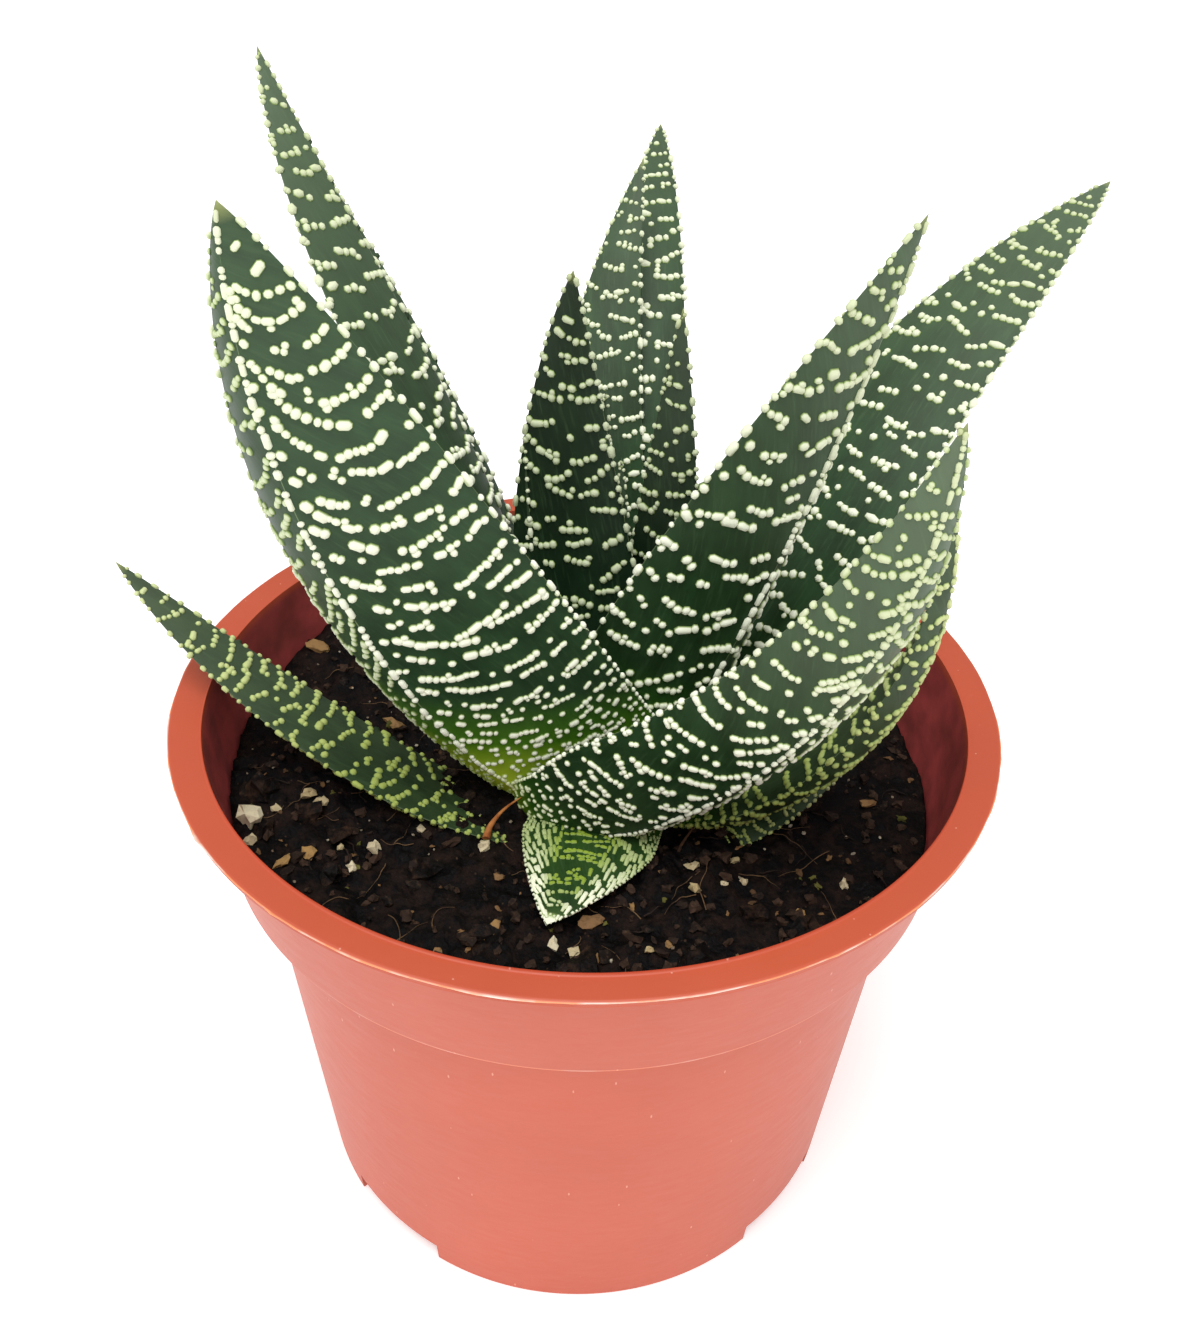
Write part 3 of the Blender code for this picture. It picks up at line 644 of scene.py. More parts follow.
# Stem
# The short stem that the leaves stand round. Only slivers of it show between them, with the
# dry scars of old leaves, so the solid keeps its own shape and takes a bark finish.
def scarred_stem():
    """Return the stem's skin: grey-brown cork in rings about 1.5 mm apart."""
    material, tree, shader = new_material("scarred_stem_cork")
    place = add_node(tree, "TexCoord", "Object")
    flat = add_node(tree, "Mapping", "Vector", {"Vector": place, "Scale": (1.0, 1.0, 3.0)})
    rings = add_node(tree, "TexNoise", "Fac", {"Vector": flat, "Scale": 220.0, "Detail": 4.0})
    colour = layered(tree, "#3A3A22", (rings, 0.0, 1.0, 1.0, "#6B6238"))
    bump = add_node(tree, "Bump", "Normal", {"Height": rings, "Strength": 0.6,
                                             "Distance": 0.4 * MM})
    set_sockets(tree, shader, {"Base Color": colour, "Roughness": 0.8, "Normal": bump})
    return material


cork = scarred_stem()
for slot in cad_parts["stem"].material_slots:
    slot.material = cork


# Leaves
# Each leaf is one thick three-edged blade, flat to a little hollow on its inner face and keeled
# on the outer one, and grows from the stem by a narrower foot. White wax-topped tubercles run
# across it in broken rows and bead its edges.
SECTION_STEPS = 16
RING_SPACING = 0.95
FOOT_RINGS = 10
INNER_FULLNESS = 0.12
OUTER_FULLNESS = 0.10
TIP_DRYNESS = 1.6
# A tubercle's outline as shares of its half width: radius, height, and how white it is there.
# On a face it is a dome, and on an edge nearly a ball.
BEAD_OUTLINE = ((1.34, -0.10, 0.0), (1.08, 0.12, 0.40), (0.92, 0.50, 0.92), (0.54, 0.80, 1.0))
EDGE_OUTLINE = ((0.60, -0.70, 0.5), (1.00, -0.15, 0.75), (0.90, 0.46, 1.0), (0.52, 0.80, 1.0))
BEAD_TOP = 0.88
# How many tubercles grow together in one go along a row
CHAINS = (1, 1, 2, 2, 3, 3, 4, 5, 6, 8)
# How near the keel the rows thin out, as a share of the face, and by how much
KEEL_STRIP = 0.06
KEEL_THINNING = 0.7
# The size and whiteness of the tubercles on a face that the others shade, as shares
SHADED_SIZE = 0.82
SHADED_WHITENESS = 0.66
# Where the painted sheen begins, as a share of the length
SHEEN_START = 0.35
# A white-edged leaf has a rim of long slanting streaks: how wide it is, as a share of a face, how
# long and how steep the streaks are, how close its teeth stand, and how many tubercles are
# missing inside it
RIM_WIDTH = 0.16
STREAK_STRETCH = (0.9, 2.0)
STREAK_SLANT = (2.5, 6.0)
TOOTH_ROOM = 0.3
RIM_BARENESS = 0.12
# The rim whitens over this length from the base, and the tip is white all over
RIM_WHITENING = 9.0
WHITE_TIP = 1.9

# A leaf is given by its base, its compass turn and rise at base and tip, its roll about its own
# length, its length and width, how late it tapers, how thick it is for half its width, and where
# its keel lies between its margins, from -1 to 1. Its foot is the length below the base, the turn
# and rise there, how narrow it ends, and where that narrowing begins. Lengths are in millimetres,
# and angles in degrees.
# These are given too where they differ from the habit. Tubercles: their width (bead) and sides,
# the gap between rows, the longest chain, how much the rows waver, how far they sweep up to the
# keel and lift at the margins, the share of long ones (bars), where the small crowded ones of the
# base end (settle), and the face that lies in shade. Colours: from where to where the bright base
# (glow: partly the base's own lime, partly a painted glow of light shining through) and the
# yellowed tubercles (sallow) fade, how much farther the glow reaches to one side (glow_lean), how
# strong the painted sheen of reflected light towards the tip is, and how dry the tip is.
LEAF_HABIT = {"foot": None, "bead": 1.05, "sides": 6, "row_gap": 4.4, "chain": 4, "waver": 1.0,
              "sweep": 8.0, "lift": 1.8, "bars": 0.12, "settle": 14.0, "shaded": None,
              "glow": (0.0, 10.0), "glow_lean": 0.0, "sallow": (-2.0, 8.0), "haze": 0.24,
              "dry": 0.8, "white_edges": False}


def foot_of(leaf):
    """Return the leaf's foot, or one of no length where it has none."""
    return leaf["foot"] or (1e-6, leaf["turn"][0], leaf["rise"][0], 1.0, 1.0)


def follow_midrib(leaf):
    """Return distances from the base and, at each, the place and the three directions there."""
    length = leaf["length"]
    foot, foot_turn, foot_rise = foot_of(leaf)[:3]
    body = np.linspace(0, length, max(12, round(length / RING_SPACING)) + 1)
    below = np.linspace(-foot, 0, FOOT_RINGS, endpoint=False) if leaf["foot"] else np.zeros(0)
    distance = np.concatenate([below, body])
    marks = (-foot, 0, length)
    turn = np.radians(np.interp(distance, marks, (foot_turn, *leaf["turn"])))[:, None]
    rise = np.radians(np.interp(distance, marks, (foot_rise, *leaf["rise"])))[:, None]
    roll = np.radians(np.interp(distance, marks[1:], leaf["roll"]))[:, None]
    level = np.hstack([np.cos(turn), np.sin(turn), np.zeros_like(turn)])
    plumb = np.array([[0.0, 0.0, 1.0]])
    along = np.cos(rise) * level + np.sin(rise) * plumb
    up = np.cos(rise) * plumb - np.sin(rise) * level
    side = np.cross(along, up)
    across = np.cos(roll) * side + np.sin(roll) * up
    inward = np.cos(roll) * up - np.sin(roll) * side
    steps = (along[1:] + along[:-1]) / 2 * np.diff(distance)[:, None]
    place = np.vstack([np.zeros(3), np.cumsum(steps, 0)])
    return distance, place - place[len(below)] + np.array(leaf["at"]), along, across, inward


def half_widths(leaf, distance):
    """Return half the leaf's width at distances from its base."""
    foot, _, _, neck, reach = foot_of(leaf)
    share = np.clip(distance / leaf["length"], 0, 1)
    wide = leaf["width"] / 2 * np.maximum(1 - share ** leaf["taper"], 1e-4) ** 0.9
    short = np.clip((reach - distance) / (reach + foot), 0, 1)
    return wide * (1 - (1 - neck) * short ** 2)


def leaf_section(leaf):
    """Return the cross-section for a half width of 1, as (across, inward) points."""
    share = (1 - np.cos(np.pi * np.arange(SECTION_STEPS) / SECTION_STEPS)) / 2
    keel, depth = leaf["keel"], leaf["thick"]
    across = 1 - 2 * share
    inner = np.stack([across, INNER_FULLNESS * (1 - across ** 2)], -1)
    bulge = OUTER_FULLNESS * np.sin(np.pi * share)
    first = np.stack([-1 + share * (keel + 1), -depth * share - bulge], -1)
    second = np.stack([keel + share * (1 - keel), -depth * (1 - share) - bulge], -1)
    outline = np.vstack([inner, first, second])
    for _ in range(2):
        outline = (np.roll(outline, 1, 0) + 2 * outline + np.roll(outline, -1, 0)) / 4
    return outline


def leaf_surface(leaf):
    """Return the leaf's skin as a grid of points, its outward normals, and its distances."""
    distance, place, along, across, inward = follow_midrib(leaf)
    outline = leaf_section(leaf)
    skin = place[:, None] + half_widths(leaf, distance)[:, None, None] * (
        outline[None, :, 0, None] * across[:, None] + outline[None, :, 1, None] * inward[:, None])
    lengthwise = np.gradient(skin, axis=0)
    round_it = np.roll(skin, -1, 1) - np.roll(skin, 1, 1)
    normal = np.cross(lengthwise, round_it)
    normal /= np.linalg.norm(normal, axis=2, keepdims=True) + 1e-12
    outward = np.sum(normal * (skin - place[:, None]), axis=(1, 2), keepdims=True)
    normal *= np.where(np.median(outward) < 0, -1, 1)
    return skin, normal, distance


def face_rows(rng, leaf, face, wide):
    """Lay the broken rows of tubercles on one face and return where each one goes.

    Each is a tuple of distance from the base, place across the face from 0 to 1, width, extra
    length along the row, and slant of the row. All but the second are in millimetres. A row
    sweeps towards the tip as it nears the keel, and lifts a little at the margin. Towards the
    base the rows crowd, and break up into small single tubercles."""
    found = []
    length, bead = leaf["length"], leaf["bead"]
    lowest = 1.0 - foot_of(leaf)[0]
    sense = {0: 0, 1: 1, 2: -1}[face]
    distance = lowest - leaf["sweep"] + rng.uniform(0, 1)
    while distance < 0.985 * length:
        width = wide * float(half_widths(leaf, max(distance + 0.3 * leaf["sweep"], lowest)))
        sweep = leaf["sweep"] * min(1.0, width / 12) * abs(sense)
        lift = leaf["lift"] * min(1.0, width / 12)
        settling = (0.7 * lowest + 0.3 * leaf["settle"], leaf["settle"])
        clear = float(np.interp(distance + 0.4 * sweep, settling, (0, 1)))
        tipward = float(np.interp(distance / length, (0.7, 1), (0, 1)))
        # Low down and near the tip the rows stand closer, and the tubercles are smaller
        gap = leaf["row_gap"] * (0.42 + 0.58 * clear) * (1 - 0.35 * tipward)
        grain = bead * (0.68 + 0.32 * clear) * (1 - 0.3 * tipward)
        spot = rng.uniform(0.2, 0.9) * bead
        drift = rng.uniform(-0.2, 0.2) * gap
        while spot < width - 0.3 * bead:
            links = rng.choice(CHAINS) if rng.random() < clear else rng.choice((1, 1, 1, 2))
            links = min(links, leaf["chain"])
            slope = rng.uniform(-0.45, 0.45) * leaf["waver"]
            for _ in range(links):
                size = grain * rng.uniform(0.78, 1.12)
                stretch = size * rng.uniform(0.3, 0.9) if rng.random() < leaf["bars"] else 0.0
                near = spot / width if face == 1 else 1 - spot / width
                if face == 0:
                    bend = lift * abs(1 - 2 * near) ** 3
                    lie = 0.0
                else:
                    bend = sweep * near ** 3 + lift * (1 - near) ** 4
                    lie = sense * (3 * sweep * near ** 2 - 4 * lift * (1 - near) ** 3) / width
                lean = lie + slope
                stretch /= math.hypot(1, lie)
                step = (size + stretch) * rng.uniform(0.76, 1.08) / math.hypot(1, lie)
                middle = spot + step / 2
                if 0 < middle < width - 0.25 * bead:
                    jitter = rng.uniform(-0.2, 0.2) * size
                    found.append((distance + bend + drift + jitter, middle / width, size, stretch,
                                  lean + rng.uniform(-0.3, 0.3)))
                    # Now and then a second one sits close beside it
                    if rng.random() < 0.1:
                        aside = rng.choice((-0.75, 0.75)) * size
                        found.append((distance + bend + drift + aside, middle / width,
                                      size * rng.uniform(0.7, 0.95), 0.0, lean))
                spot += step
                drift += slope * step
            spot += rng.uniform(0.3, 1.6) * bead * (0.8 + 0.2 * clear)
            drift = rng.uniform(-0.34, 0.34) * gap * (2 - clear) * leaf["waver"]
            # Now and then one stands alone between two rows
            if rng.random() < 0.2 * clear:
                lone = distance + bend + rng.uniform(0.3, 0.5) * gap * rng.choice((-1, 1))
                found.append((lone, min(0.97, spot / width), grain * 0.8, 0.0, 0.0))
        distance += gap * rng.uniform(0.86, 1.14)
    return found


def edge_beads(rng, leaf, keel):
    """Lay the tubercles that bead one edge of the leaf, and return them as face_rows does.

    The keel has a near-continuous lumpy line of them, and the margins have small teeth."""
    found = []
    length, bead = leaf["length"], leaf["bead"]
    lowest = 1.0 - foot_of(leaf)[0]
    distance = lowest
    crowding = TOOTH_ROOM if leaf["white_edges"] else 1.0
    while distance < 0.985 * length:
        clear = float(np.interp(distance, (lowest, 0.7 * leaf["settle"]), (0, 1)))
        fine = (0.5 + 0.5 * clear) * float(np.interp(distance / length, (0.8, 1), (1, 0.7)))
        if keel:
            size = bead * rng.uniform(0.65, 0.98) * fine
            stretch = rng.uniform(0.2, 1.1) * bead * fine if rng.random() < 0.6 else 0.0
            spread = 0.03 * math.sin(distance / 1.7) + rng.uniform(-0.03, 0.03)
            room = rng.uniform(-0.2, 0.25) if rng.random() < 0.85 else rng.uniform(0.4, 1.2)
        else:
            size = bead * rng.uniform(0.7, 1.1) * fine
            stretch = rng.uniform(0.2, 0.8) * size if rng.random() < 0.3 else 0.0
            spread = rng.uniform(-0.012, 0.012)
            room = rng.uniform(0.4, 1.8) * (0.4 + 0.6 * clear)
        found.append((distance + stretch / 2, spread, size, stretch, 0.0))
        distance += stretch + size + crowding * room * bead * fine
    return found


def bead_shape(sides, outline):
    """Return one tubercle's points, how white each is, and its faces, for a half width of 1."""
    points, white = [], []
    for radius, height, pale in outline:
        for i in range(sides):
            angle = 2 * math.pi * (i + 0.5) / sides
            points.append((radius * math.cos(angle), radius * math.sin(angle), height))
            white.append(pale)
    points.append((0.0, 0.0, BEAD_TOP))
    white.append(1.0)
    faces = [tuple(reversed(range(sides)))]
    for layer in range(len(outline) - 1):
        for i in range(sides):
            j = (i + 1) % sides
            low, high = layer * sides, (layer + 1) * sides
            faces.append((low + i, low + j, high + j, high + i))
    last = (len(outline) - 1) * sides
    for i in range(sides):
        faces.append((last + i, last + (i + 1) % sides, len(points) - 1))
    return np.array(points), np.array(white), faces


def look_up(grid, row, column):
    """Read a grid of vectors between its rows and, wrapping round, between its columns."""
    i = np.clip(np.floor(row).astype(int), 0, len(grid) - 2)
    j = np.floor(column).astype(int)
    a, b = (row - i)[:, None], (column - j)[:, None]
    j, k = j % grid.shape[1], (j + 1) % grid.shape[1]
    return ((1 - a) * ((1 - b) * grid[i, j] + b * grid[i, k])
            + a * ((1 - b) * grid[i + 1, j] + b * grid[i + 1, k]))


def unit(vectors):
    """Return the vectors at a length of 1."""
    return vectors / (np.linalg.norm(vectors, axis=1, keepdims=True) + 1e-12)


def place_tubercles(leaf, rng):
    """Return a row for each tubercle of a leaf: its distance from the base, its column round the
    section, width, extra length, slant, whether it is on an edge, how near it is to the rim, and
    how white it is."""
    outline = leaf_section(leaf)
    edges = np.linalg.norm(np.roll(outline, -1, 0) - outline, axis=1)
    placed = []
    for face in range(3):
        run = edges[face * SECTION_STEPS:(face + 1) * SECTION_STEPS]
        reach = np.concatenate([[0], np.cumsum(run)])
        for distance, spot, size, stretch, slant in face_rows(rng, leaf, face, reach[-1]):
            column = np.interp(spot * reach[-1], reach, np.arange(SECTION_STEPS + 1))
            to_margin = {0: min(spot, 1 - spot), 1: spot, 2: 1 - spot}[face]
            to_keel = {0: 1, 1: 1 - spot, 2: spot}[face]
            rim = min(1.0, max(0.0, 2 - to_margin / RIM_WIDTH))
            if leaf["white_edges"] and rim == 0.0 and rng.random() < RIM_BARENESS:
                continue
            if to_keel < KEEL_STRIP and rng.random() < KEEL_THINNING:
                continue
            if leaf["white_edges"] and rim > 0.0:
                stretch = size * rng.uniform(*STREAK_STRETCH)
                slant = rng.uniform(*STREAK_SLANT)
            whiteness = 1.0
            if face == leaf["shaded"]:
                size *= SHADED_SIZE
                whiteness = SHADED_WHITENESS
            placed.append((distance, face * SECTION_STEPS + column, size, stretch, slant, 0.0, rim,
                           whiteness))
    for edge in range(3):
        for distance, spread, size, stretch, slant in edge_beads(rng, leaf, edge == 2):
            column = (edge + spread) * SECTION_STEPS
            placed.append((distance, column, size, stretch, slant, 1.0, 1.0, 1.0))
    lowest, highest = 0.5 - foot_of(leaf)[0], 0.99 * leaf["length"]
    return np.array([p for p in placed if lowest < p[0] < highest])


def tubercles(leaf, skin, normal, distances):
    """Return the points, whiteness and faces of all the tubercles, and how far from the base
    and how near to the rim of the leaf each point is."""
    rng = random.Random(leaf["name"])
    distance, column, size, stretch, slant, on_edge, rim, whiteness = place_tubercles(leaf, rng).T
    row = np.interp(distance, distances, np.arange(len(distances)))
    middle = look_up(skin, row, column)
    out = unit(look_up(normal, row, column))
    lengthwise = unit(look_up(skin, np.minimum(row + 0.5, len(skin) - 1.001), column)
                      - look_up(skin, np.maximum(row - 0.5, 0), column))
    sideways = np.cross(out, lengthwise)
    # The columns may run the other way round than the sideways direction points
    sense = np.sign(np.sum(sideways * (look_up(skin, row, column + 0.5)
                                       - look_up(skin, row, column - 0.5)), 1))[:, None]
    slanted = sense * sideways + slant[:, None] * lengthwise
    run = unit(np.where(on_edge[:, None] > 0, lengthwise, slanted))
    wide = np.cross(out, run)
    dome, dome_white, faces = bead_shape(leaf["sides"], BEAD_OUTLINE)
    ball, ball_white, _ = bead_shape(leaf["sides"], EDGE_OUTLINE)
    edge = on_edge[:, None] > 0
    shape = np.where(edge[..., None], ball, dome)
    white = np.where(edge, ball_white, dome_white) * whiteness[:, None]
    squash = np.array([rng.uniform(0.88, 1.12) for _ in distance])[:, None]
    x = shape[..., 0] * size[:, None] / 2 * squash
    x = x + np.sign(shape[..., 0].round(6)) * stretch[:, None] / 2
    y = shape[..., 1] * size[:, None] / 2 / squash
    z = shape[..., 2] * size[:, None] / 2
    points = (middle[:, None] + x[..., None] * run[:, None] + y[..., None] * wide[:, None]
              + z[..., None] * out[:, None]).reshape(-1, 3)
    all_faces = [tuple(v + k * len(dome) for v in face)
                 for k in range(len(distance)) for face in faces]
    return (points, white.ravel(), all_faces, np.repeat(distance, len(dome)),
            np.repeat(rim, len(dome)))


def mark_colours(mesh, leaf, points, distances, skin_shape, white, wart_distance, rim):
    """Give the leaf's points the numbers that its material reads: how far each colour reaches
    there, and where the point lies on the skin. The skin's points come before the tubercles'."""
    rings, around = skin_shape
    on_skin = rings * around
    distance = np.concatenate([np.repeat(distances, around), wart_distance])
    _, place, _, across, _ = follow_midrib(leaf)
    middle, sideways = (np.stack([np.interp(distance, distances, line[:, k]) for k in range(3)], -1)
                        for line in (place, across))
    lean = leaf["glow_lean"] * np.sum((points - middle) * sideways, 1)
    fade = {key: np.clip((leaf[key][1] - distance - lean) / (leaf[key][1] - leaf[key][0]), 0, 1)
            for key in ("glow", "sallow")}
    skin_white = np.zeros(on_skin)
    from_tip = leaf["length"] - distance
    if leaf["white_edges"]:
        fade["sallow"][on_skin:] *= 1 - rim * np.clip(wart_distance / RIM_WHITENING, 0.3, 1)
        fade["sallow"][:on_skin] *= from_tip[:on_skin] > WHITE_TIP + 1.1
        skin_white = np.clip((WHITE_TIP - from_tip[:on_skin]) / 0.8, 0, 0.85)
    # The painted sheen of reflected light grows from its start to the tip
    sheen_share = np.clip((distance / leaf["length"] - SHEEN_START) / (1 - SHEEN_START), 0, 1)
    edge_line = np.zeros((rings, around))
    edge_line[:, ::SECTION_STEPS] = 1
    mark_points(mesh, "pearl", np.concatenate([skin_white, white]))
    # The base's own lime, made brighter as a painted glow of light shining through it
    mark_points(mesh, "base_glow", fade["glow"])
    mark_points(mesh, "sallow", fade["sallow"])
    mark_points(mesh, "haze", leaf["haze"] * sheen_share)
    mark_points(mesh, "dry_tip", leaf["dry"] * np.clip((TIP_DRYNESS - from_tip) / 1.2, 0, 1))
    mark_points(mesh, "edge_line", np.concatenate([edge_line.ravel(), np.zeros(len(white))]))
    outline = leaf_section(leaf)
    girth = np.concatenate([[0], np.cumsum(np.linalg.norm(np.diff(outline, axis=0), axis=1))])
    grain = np.zeros((len(points), 3), dtype=np.float32)
    grain[:on_skin, 0] = (girth[None] * half_widths(leaf, distances)[:, None]).ravel()
    grain[:on_skin, 1] = np.repeat(distances, around)
    # A far-off third place gives each leaf its own clouds and streaks
    grain[:, 2] = 7 * leaf["length"]
    attribute = mesh.attributes.new("along_leaf", "FLOAT_VECTOR", "POINT")
    attribute.data.foreach_set("vector", grain.ravel())


def grow_leaf(cuticle, **leaf):
    """Make one leaf with all its tubercles as one mesh, in place of its CAD node."""
    leaf = LEAF_HABIT | leaf
    skin, normal, distances = leaf_surface(leaf)
    rings, around = skin.shape[:2]
    grid = np.arange(rings * around).reshape(rings, around)
    low, high = grid[:-1], grid[1:]
    quads = np.stack([low, np.roll(low, -1, 1), np.roll(high, -1, 1), high], -1).reshape(-1, 4)
    warts, white, wart_faces, wart_distance, rim = tubercles(leaf, skin, normal, distances)
    points = np.vstack([skin.reshape(-1, 3), warts])
    faces = [tuple(quad) for quad in quads.tolist()]
    faces.append(tuple(reversed(grid[0].tolist())))
    faces.append(tuple(grid[-1].tolist()))
    faces += [tuple(grid.size + v for v in face) for face in wart_faces]
    item = new_piece(leaf["name"].removeprefix("leaf_") + "_leaf", (points * MM).tolist(), faces)
    mark_colours(item.data, leaf, points, distances, (rings, around), white, wart_distance, rim)
    item.data.materials.append(cuticle)
    face_outwards()
    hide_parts(leaf["name"])
    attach(item, "root")


def leaf_cuticle(name, dark, mid, green, lime, pearl, sallow):
    """Return a waxy leaf skin: dark and faintly streaked, brighter green towards the base, partly its
    own lime and partly a painted glow of light shining through, with a painted grey sheen of
    reflected light towards the tip, a pale line along each edge, and white tubercles that have a
    yellow-green ring of painted glow round them."""
    material, tree, shader = new_material(name)
    marks = {mark: add_node(tree, "Attribute", "Fac", attribute_name=mark)
             for mark in ("pearl", "base_glow", "sallow", "haze", "dry_tip", "edge_line")}
    # Clouds of 3 by 8 mm and streaks of 0.4 by 4 mm, both along the leaf
    grain = add_node(tree, "Attribute", "Vector", attribute_name="along_leaf")
    clouds = add_node(tree, "Mapping", "Vector", {"Vector": grain, "Scale": (0.3, 0.12, 1.0)})
    streaks = add_node(tree, "Mapping", "Vector", {"Vector": grain, "Scale": (2.4, 0.25, 1.0)})
    cloud = add_node(tree, "TexNoise", "Fac", {"Vector": clouds, "Scale": 1.0, "Detail": 4.0,
                                               "Roughness": 0.6})
    streak = add_node(tree, "TexNoise", "Fac", {"Vector": streaks, "Scale": 1.0, "Detail": 2.0})
    # The tubercles' wax is painted duller under the painted sheen, and yellowed on old leaves
    wax = layered(tree, pearl, (marks["haze"], 0.03, 0.28, 0.8, "#C2CC9C"),
                  (marks["sallow"], 0.0, 1.0, 1.0, sallow))
    colour = layered(tree, dark, (cloud, 0.35, 0.65, 1.0, mid), (streak, 0.55, 0.8, 0.35, "#4A6444"),
                     # Painted sheen: grey reflected light laid over the skin towards the tip
                     (marks["haze"], 0.0, 1.0, 1.0, "#84947A"),
                     # Painted glow: the base's green and lime are brighter than its own colour,
                     # standing for light shining through
                     (marks["base_glow"], 0.0, 0.6, 1.0, green),
                     (marks["base_glow"], 0.5, 1.0, 1.0, lime),
                     (marks["edge_line"], 0.6, 1.0, 0.6, "#9CB07E"),
                     # Painted glow: the yellow-green ring round each tubercle stands for light
                     # scattered through the wax's edge
                     (marks["pearl"], 0.0, 0.5, 1.0, "#9DB468"),
                     (marks["pearl"], 0.4, 0.85, 1.0, wax),
                     (marks["dry_tip"], 0.0, 1.0, 1.0, "#9EA468"))
    sheen = add_node(tree, "MapRange", "Result", {"Value": marks["pearl"], "To Min": 0.46,
                                                  "To Max": 0.6})
    place = add_node(tree, "TexCoord", "Object")
    cells = add_node(tree, "TexNoise", "Fac", {"Vector": place, "Scale": 2600.0, "Detail": 3.0})
    rough_skin = add_node(tree, "Bump", "Normal", {"Height": cells, "Strength": 0.2,
                                                   "Distance": 0.06 * MM})
    grooved = add_node(tree, "Bump", "Normal", {"Height": streak, "Strength": 0.15,
                                                "Distance": 0.15 * MM, "Normal": rough_skin})
    set_sockets(tree, shader, {"Base Color": colour, "Roughness": sheen, "Normal": grooved,
                               "IOR": 1.42, "Specular IOR Level": 0.25})
    return material


MATURE = leaf_cuticle("mature_leaf_cuticle", "#193116", "#264324", "#2A5E0C", "#8CAE28",
                      "#F6F9E2", "#C6D982")
YOUNG = leaf_cuticle("young_leaf_cuticle", "#1F3820", "#2B472A", "#4E8410", "#C0D838",
                     "#F6F9E2", "#DCE690")
# Painted shade: a darker copy of the leaf skin, with duller tubercles, for the leaves deep in the
# rosette's middle
SHADED_HEART = leaf_cuticle("heart_leaf_cuticle_painted_shade", "#091E0D", "#122A15", "#1E4A10", "#5C7C20",
                     "#CED6B4", "#B4C878")
OLD = leaf_cuticle("old_leaf_cuticle", "#23341F", "#33462A", "#2C5212", "#55791C",
                   "#DEE4AC", "#A6B45E")
STUNTED = leaf_cuticle("stunted_leaf_cuticle", "#1A3414", "#2C4A1C", "#2C5212", "#55791C",
                       "#F4F7DC", "#8CA438")


# Heart leaves
# The youngest leaves, still soft and growing from the stem's tip. They stand nearly upright in
# the middle and show their keeled outer faces.
grow_leaf(YOUNG, name="leaf_bud_low", slot="leaf_young", at=(4.3, 5.0, 71.0), turn=(98, 100),
          rise=(80, 82), length=34.5, width=5.0, taper=1.6, thick=0.6, roll=(0, 0), keel=0.0,
          bead=0.65, row_gap=3.0, settle=4, dry=0)
grow_leaf(YOUNG, name="leaf_bud_high", slot="leaf_young", at=(0.5, 5.5, 71.0), turn=(85, 82),
          rise=(80, 82), length=43, width=6.0, taper=1.6, thick=0.6, roll=(0, 0), keel=0.0,
          bead=0.7, row_gap=3.0, settle=4, dry=0)
# These two take the darker heart skin: painted shade
grow_leaf(SHADED_HEART, name="leaf_centre_small", slot="leaf_green", at=(9.0, 7.0, 71.0),
          turn=(70, 75), rise=(85, 89), length=53.5, width=12.5, taper=1.4, thick=0.5,
          roll=(0, 0), keel=0.0, foot=(5, 70, 80, 0.85, 12), bead=0.85, row_gap=2.8, settle=5)
grow_leaf(SHADED_HEART, name="leaf_centre", slot="leaf_green", at=(0.5, -0.8, 70.5), turn=(109, 110),
          rise=(57, 103), length=60.5, width=20.0, taper=1.7, thick=0.5, roll=(24, 40), keel=0.3,
          bead=0.95, row_gap=3.2, settle=5, haze=0.1, sides=7)
grow_leaf(MATURE, name="leaf_right_inner", slot="leaf_green", at=(5.2, 0.6, 71.1), turn=(4, 1),
          rise=(69, 64), length=72.5, width=22.8, taper=2.4, thick=0.54, roll=(78, 36),
          keel=-0.44, bead=1.08, row_gap=3.7, settle=14, sweep=6.0, glow=(-2, 12), haze=0.34,
          chain=5, sides=7)


# Back leaves
# Longer grown leaves behind the heart, which rise from the back of the stem, arch back and show
# their inner faces.
grow_leaf(MATURE, name="leaf_left_young", slot="leaf_green", at=(-6.0, 10.5, 70.0),
          turn=(150, 150), rise=(84, 86), length=37, width=9.0, taper=1.6, thick=0.5,
          roll=(-30, -30), keel=0.0, foot=(5.5, 150, 84, 0.8, 12), bead=0.8, row_gap=3.4)
grow_leaf(MATURE, name="leaf_centre_tall", slot="leaf_green", at=(1.2, 10.0, 69.5),
          turn=(102, 68), rise=(60.5, 50), length=75.5, width=17.3, taper=1.8, thick=0.45,
          roll=(-1, -3), keel=0.1, foot=(5, 102, 62, 0.85, 12), bead=0.85, row_gap=2.8)
grow_leaf(MATURE, name="leaf_back_tall", slot="leaf_green", at=(4.0, 16.0, 66.5), turn=(84, 87),
          rise=(79, 16), length=93, width=16.5, taper=2.15, thick=0.45, roll=(0, -2), keel=0.1,
          foot=(5, 84, 85, 0.8, 12), row_gap=3.4)
grow_leaf(MATURE, name="leaf_left_tall", slot="leaf_green", at=(-4.5, 5.0, 68.5),
          turn=(178, 115), rise=(75, 38), length=95, width=20.5, taper=1.5, thick=0.5,
          roll=(-10, -9), keel=-0.15, foot=(5, 178, 80, 0.8, 12), row_gap=3.9, haze=0.38)
grow_leaf(MATURE, name="leaf_left_back", slot="leaf_green", at=(-6.5, 15.0, 67.0),
          turn=(150, 130), rise=(68, 45), length=78, width=15.0, taper=1.8, thick=0.45,
          roll=(-10, -10), keel=0.0, foot=(5, 150, 75, 0.8, 12), row_gap=3.4)
grow_leaf(MATURE, name="leaf_right_back", slot="leaf_green", at=(11.5, 5.0, 67.0),
          turn=(33, 45), rise=(59, 17), length=104, width=25.8, taper=2.0, thick=0.5,
          roll=(-7, -7), keel=0.5, foot=(6, 33, 60, 0.8, 12), row_gap=3.6, haze=0.38)


